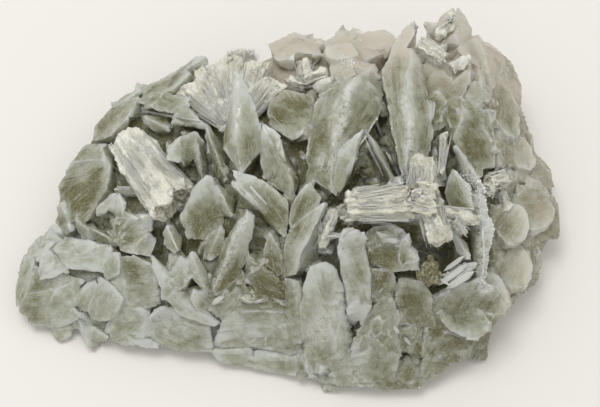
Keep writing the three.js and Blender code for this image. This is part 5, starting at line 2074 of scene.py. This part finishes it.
CRUSTED: tuple[Stroke, ...] = (
    Stroke(((30.5, -1.6, 26.8), (32.3, -3.5, 28.1), (34.0, -7.7, 24.9)), 1.2),
    Stroke(((34.0, -7.7, 24.9), (34.1, -11.4, 22.6), (34.0, -14.5, 20.3), (34.2, -17.7, 17.8)), 1.0, 0.7),
    Stroke(((27.1, -17.8, 22.0), (28.4, -17.1, 22.3), (30.1, -16.1, 22.7)), 1.0, 0.3),
    Stroke(((9.9, 21.0, 26.9), (10.8, 18.4, 28.9)), 0.8, 0.2),
)
WHITE_BLADES: tuple[SmallBlade, ...] = (
    SmallBlade((-16.2, -19.8, 12.9), (-14.2, -17.3, 14.2), 0.8),
    SmallBlade((-13.4, -19.9, 12.8), (-10.8, -17.8, 13.6), 1.2),
    SmallBlade((-19.2, 11.8, 15.5), (-16.5, 9.0, 21.5), 0.9),
    SmallBlade((8.0, -13.5, 18.2), (9.3, -14.7, 17.2), 0.7),
    SmallBlade((17.7, -24.2, 16.2), (19.4, -25.6, 14.0), 0.9),
    SmallBlade((20.2, -25.8, 13.0), (21.6, -26.5, 10.2), 0.7),
    SmallBlade((25.4, -19.4, 22.0), (30.8, -15.8, 23.4), 1.3, 0.3, (0.3, -0.2, 1.0)),
    SmallBlade((26.8, -19.8, 21.4), (31.8, -17.0, 22.6), 1.5, 0.25, (-0.3, -0.6, 0.8)),
    SmallBlade((26.4, -17.2, 22.8), (30.2, -14.6, 23.8), 1.0, 0.25, (0.5, -0.6, 1.0)),
    SmallBlade((28.4, -18.6, 22.0), (32.2, -15.2, 22.2), 1.2, 0.25, (0.1, -0.9, 1.0)),
    SmallBlade((24.8, -17.8, 22.6), (27.6, -19.6, 22.8), 0.7, 0.2, (0.6, 0.2, 1.0)),
    SmallBlade((9.6, 21.4, 27.0), (11.0, 18.0, 29.0), 0.8),
)


# The nodule

@dataclass
class Nodule:
    """The small brown lump in the hollow by the main sheaf."""

    finish: bpy.types.Material
    voxel: float = 0.14
    crumb: float = 0.8
    crumb_size: float = 1.2
    seed: int = 9

    def build(self) -> bpy.types.Object:
        """Makes the lump.

        Returns:
            The piece.
        """
        piece = merged_copy(Node.NODULE, "nodule_crumbly")
        remeshed(piece, self.voxel)
        surface = Surface(piece.data)
        points = surface.averaged(surface.points(), 3)
        surface.move_to(points)
        offset = self.crumb * (LatticeNoise(self.seed).at(points, self.crumb_size, 3) - 0.2)
        surface.move_to(points + surface.normals() * offset[:, None])
        piece.data.shade_smooth()
        finish_piece(piece, self.finish, Slot.NODULE, (Node.NODULE,))
        return piece


# The studio

@dataclass(frozen=True)
class Studio:
    """A pale table, soft light and the camera."""

    floor_size: float = 3.0
    camera_place: Triple = (2.1, -96.3, 249.4)
    camera_target: Triple = (2.1, 4.4985, 0.0)
    focal_length: float = 84.9
    sensor: float = 36.0
    nearest: float = 0.01
    sky: Triple = (0.93, 0.94, 0.94)
    sky_strength: float = 0.98
    low_sky: float = 0.6
    key_place: Triple = (-90.0, 90.0, 600.0)
    key_size: float = 0.25
    key_power: float = 1.5

    def build(self) -> None:
        """Makes the floor, the lights and the camera."""
        self.floor()
        self.lights()
        self.camera()

    def floor(self) -> None:
        """Lays the table under the specimen."""
        bpy.ops.mesh.primitive_plane_add(size=self.floor_size)
        floor = bpy.context.object
        floor.name = "table"
        floor.data.materials.append(FloorFinish().build())
        floor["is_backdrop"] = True

    def lights(self) -> None:
        """Sets an even sky and one large soft light."""
        world = bpy.data.worlds.new("soft_sky")
        bpy.context.scene.world = world
        world.use_nodes = True
        recipe = Recipe(world.node_tree)
        way = recipe.add("ShaderNodeTexCoord").outputs["Generated"]
        height = recipe.add("ShaderNodeSeparateXYZ", {"Vector": way}).outputs["Z"]
        level = recipe.ramp(height, 0.0, 1.0, self.low_sky * self.sky_strength, self.sky_strength)
        back = world.node_tree.nodes["Background"]
        recipe.fill(back, {"Color": (*self.sky, 1.0), "Strength": level})
        lamp = bpy.data.lights.new("key", "AREA")
        lamp.size = self.key_size
        lamp.energy = self.key_power
        self.aim("key", lamp, self.key_place, (0.0, 0.0, 0.0))

    def camera(self) -> None:
        """Puts the camera where the photograph was taken from."""
        data = bpy.data.cameras.new("camera")
        data.lens = self.focal_length
        data.sensor_width = self.sensor
        data.clip_start = self.nearest
        bpy.context.scene.camera = self.aim("camera", data, self.camera_place, self.camera_target)

    @staticmethod
    def aim(name: str, data: bpy.types.ID, place: Triple, target: Triple) -> bpy.types.Object:
        """Puts a light or a camera in the scene.

        Args:
            name: its name.
            data: the light or the camera.
            place: where it stands, in millimetres.
            target: what it looks at, in millimetres.

        Returns:
            The object.
        """
        thing = bpy.data.objects.new(name, data)
        bpy.context.scene.collection.objects.link(thing)
        thing.location = Vector(place) * MM
        way = Vector(target) * MM - Vector(place) * MM
        thing.rotation_euler = way.to_track_quat("-Z", "Y").to_euler()
        return thing


def write_size() -> None:
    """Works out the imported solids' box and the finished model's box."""
    boxes = {"cad": CAD_BOX, "visual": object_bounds()}
    plain = {name: [[float(x) for x in corner] for corner in box] for name, box in boxes.items()}


def main() -> None:
    """Builds the specimen and the studio round it."""
    logging.basicConfig(level=logging.INFO, format="%(message)s")
    bpy.context.scene.view_settings.view_transform = "Standard"
    Studio().build()
    calcite = CalciteFinish().build()
    plates = PlateScatter().build()
    bed = CalciteBed(calcite, plates).build()
    dull = {"clear": 0.0, "glow": 0.0}
    frosty = CalciteFinish("calcite_frosty", thin=(160, 162, 153), frost=(188, 189, 182), **dull).build()
    snowy = CalciteFinish("calcite_snowy", thin=(222, 223, 216), frost=(236, 236, 231), **dull).build()
    Sprinkle("white_blades", frosty, plates, blades=WHITE_BLADES).build(bed)
    Sprinkle("frosty_crust", snowy, plates, strokes=CRUSTED, count=1800).build(bed)
    fibrous = NeedleFinish().build()
    bundle = NeedleBundle().build()
    LooseNeedles("loose_needles", LOOSE_NEEDLES, fibrous, Slot.STRONTIANITE, bundle, seed=2).build()
    for number, (node, sticks) in enumerate(STICKS.items()):
        Sheaf(node, sticks, fibrous, bundle, seed=number + 3, **HABITS.get(node, {})).build()
    earthy = NoduleFinish().build()
    Nodule(earthy).build()
    dark = NoduleFinish("nodule_dark", (118, 115, 104), (70, 66, 56)).build()
    LooseNeedles("dark_rods", DARK_RODS, dark, Slot.NODULE, bundle, seed=6).build()
    write_size()


if __name__ == "__main__":
    main()
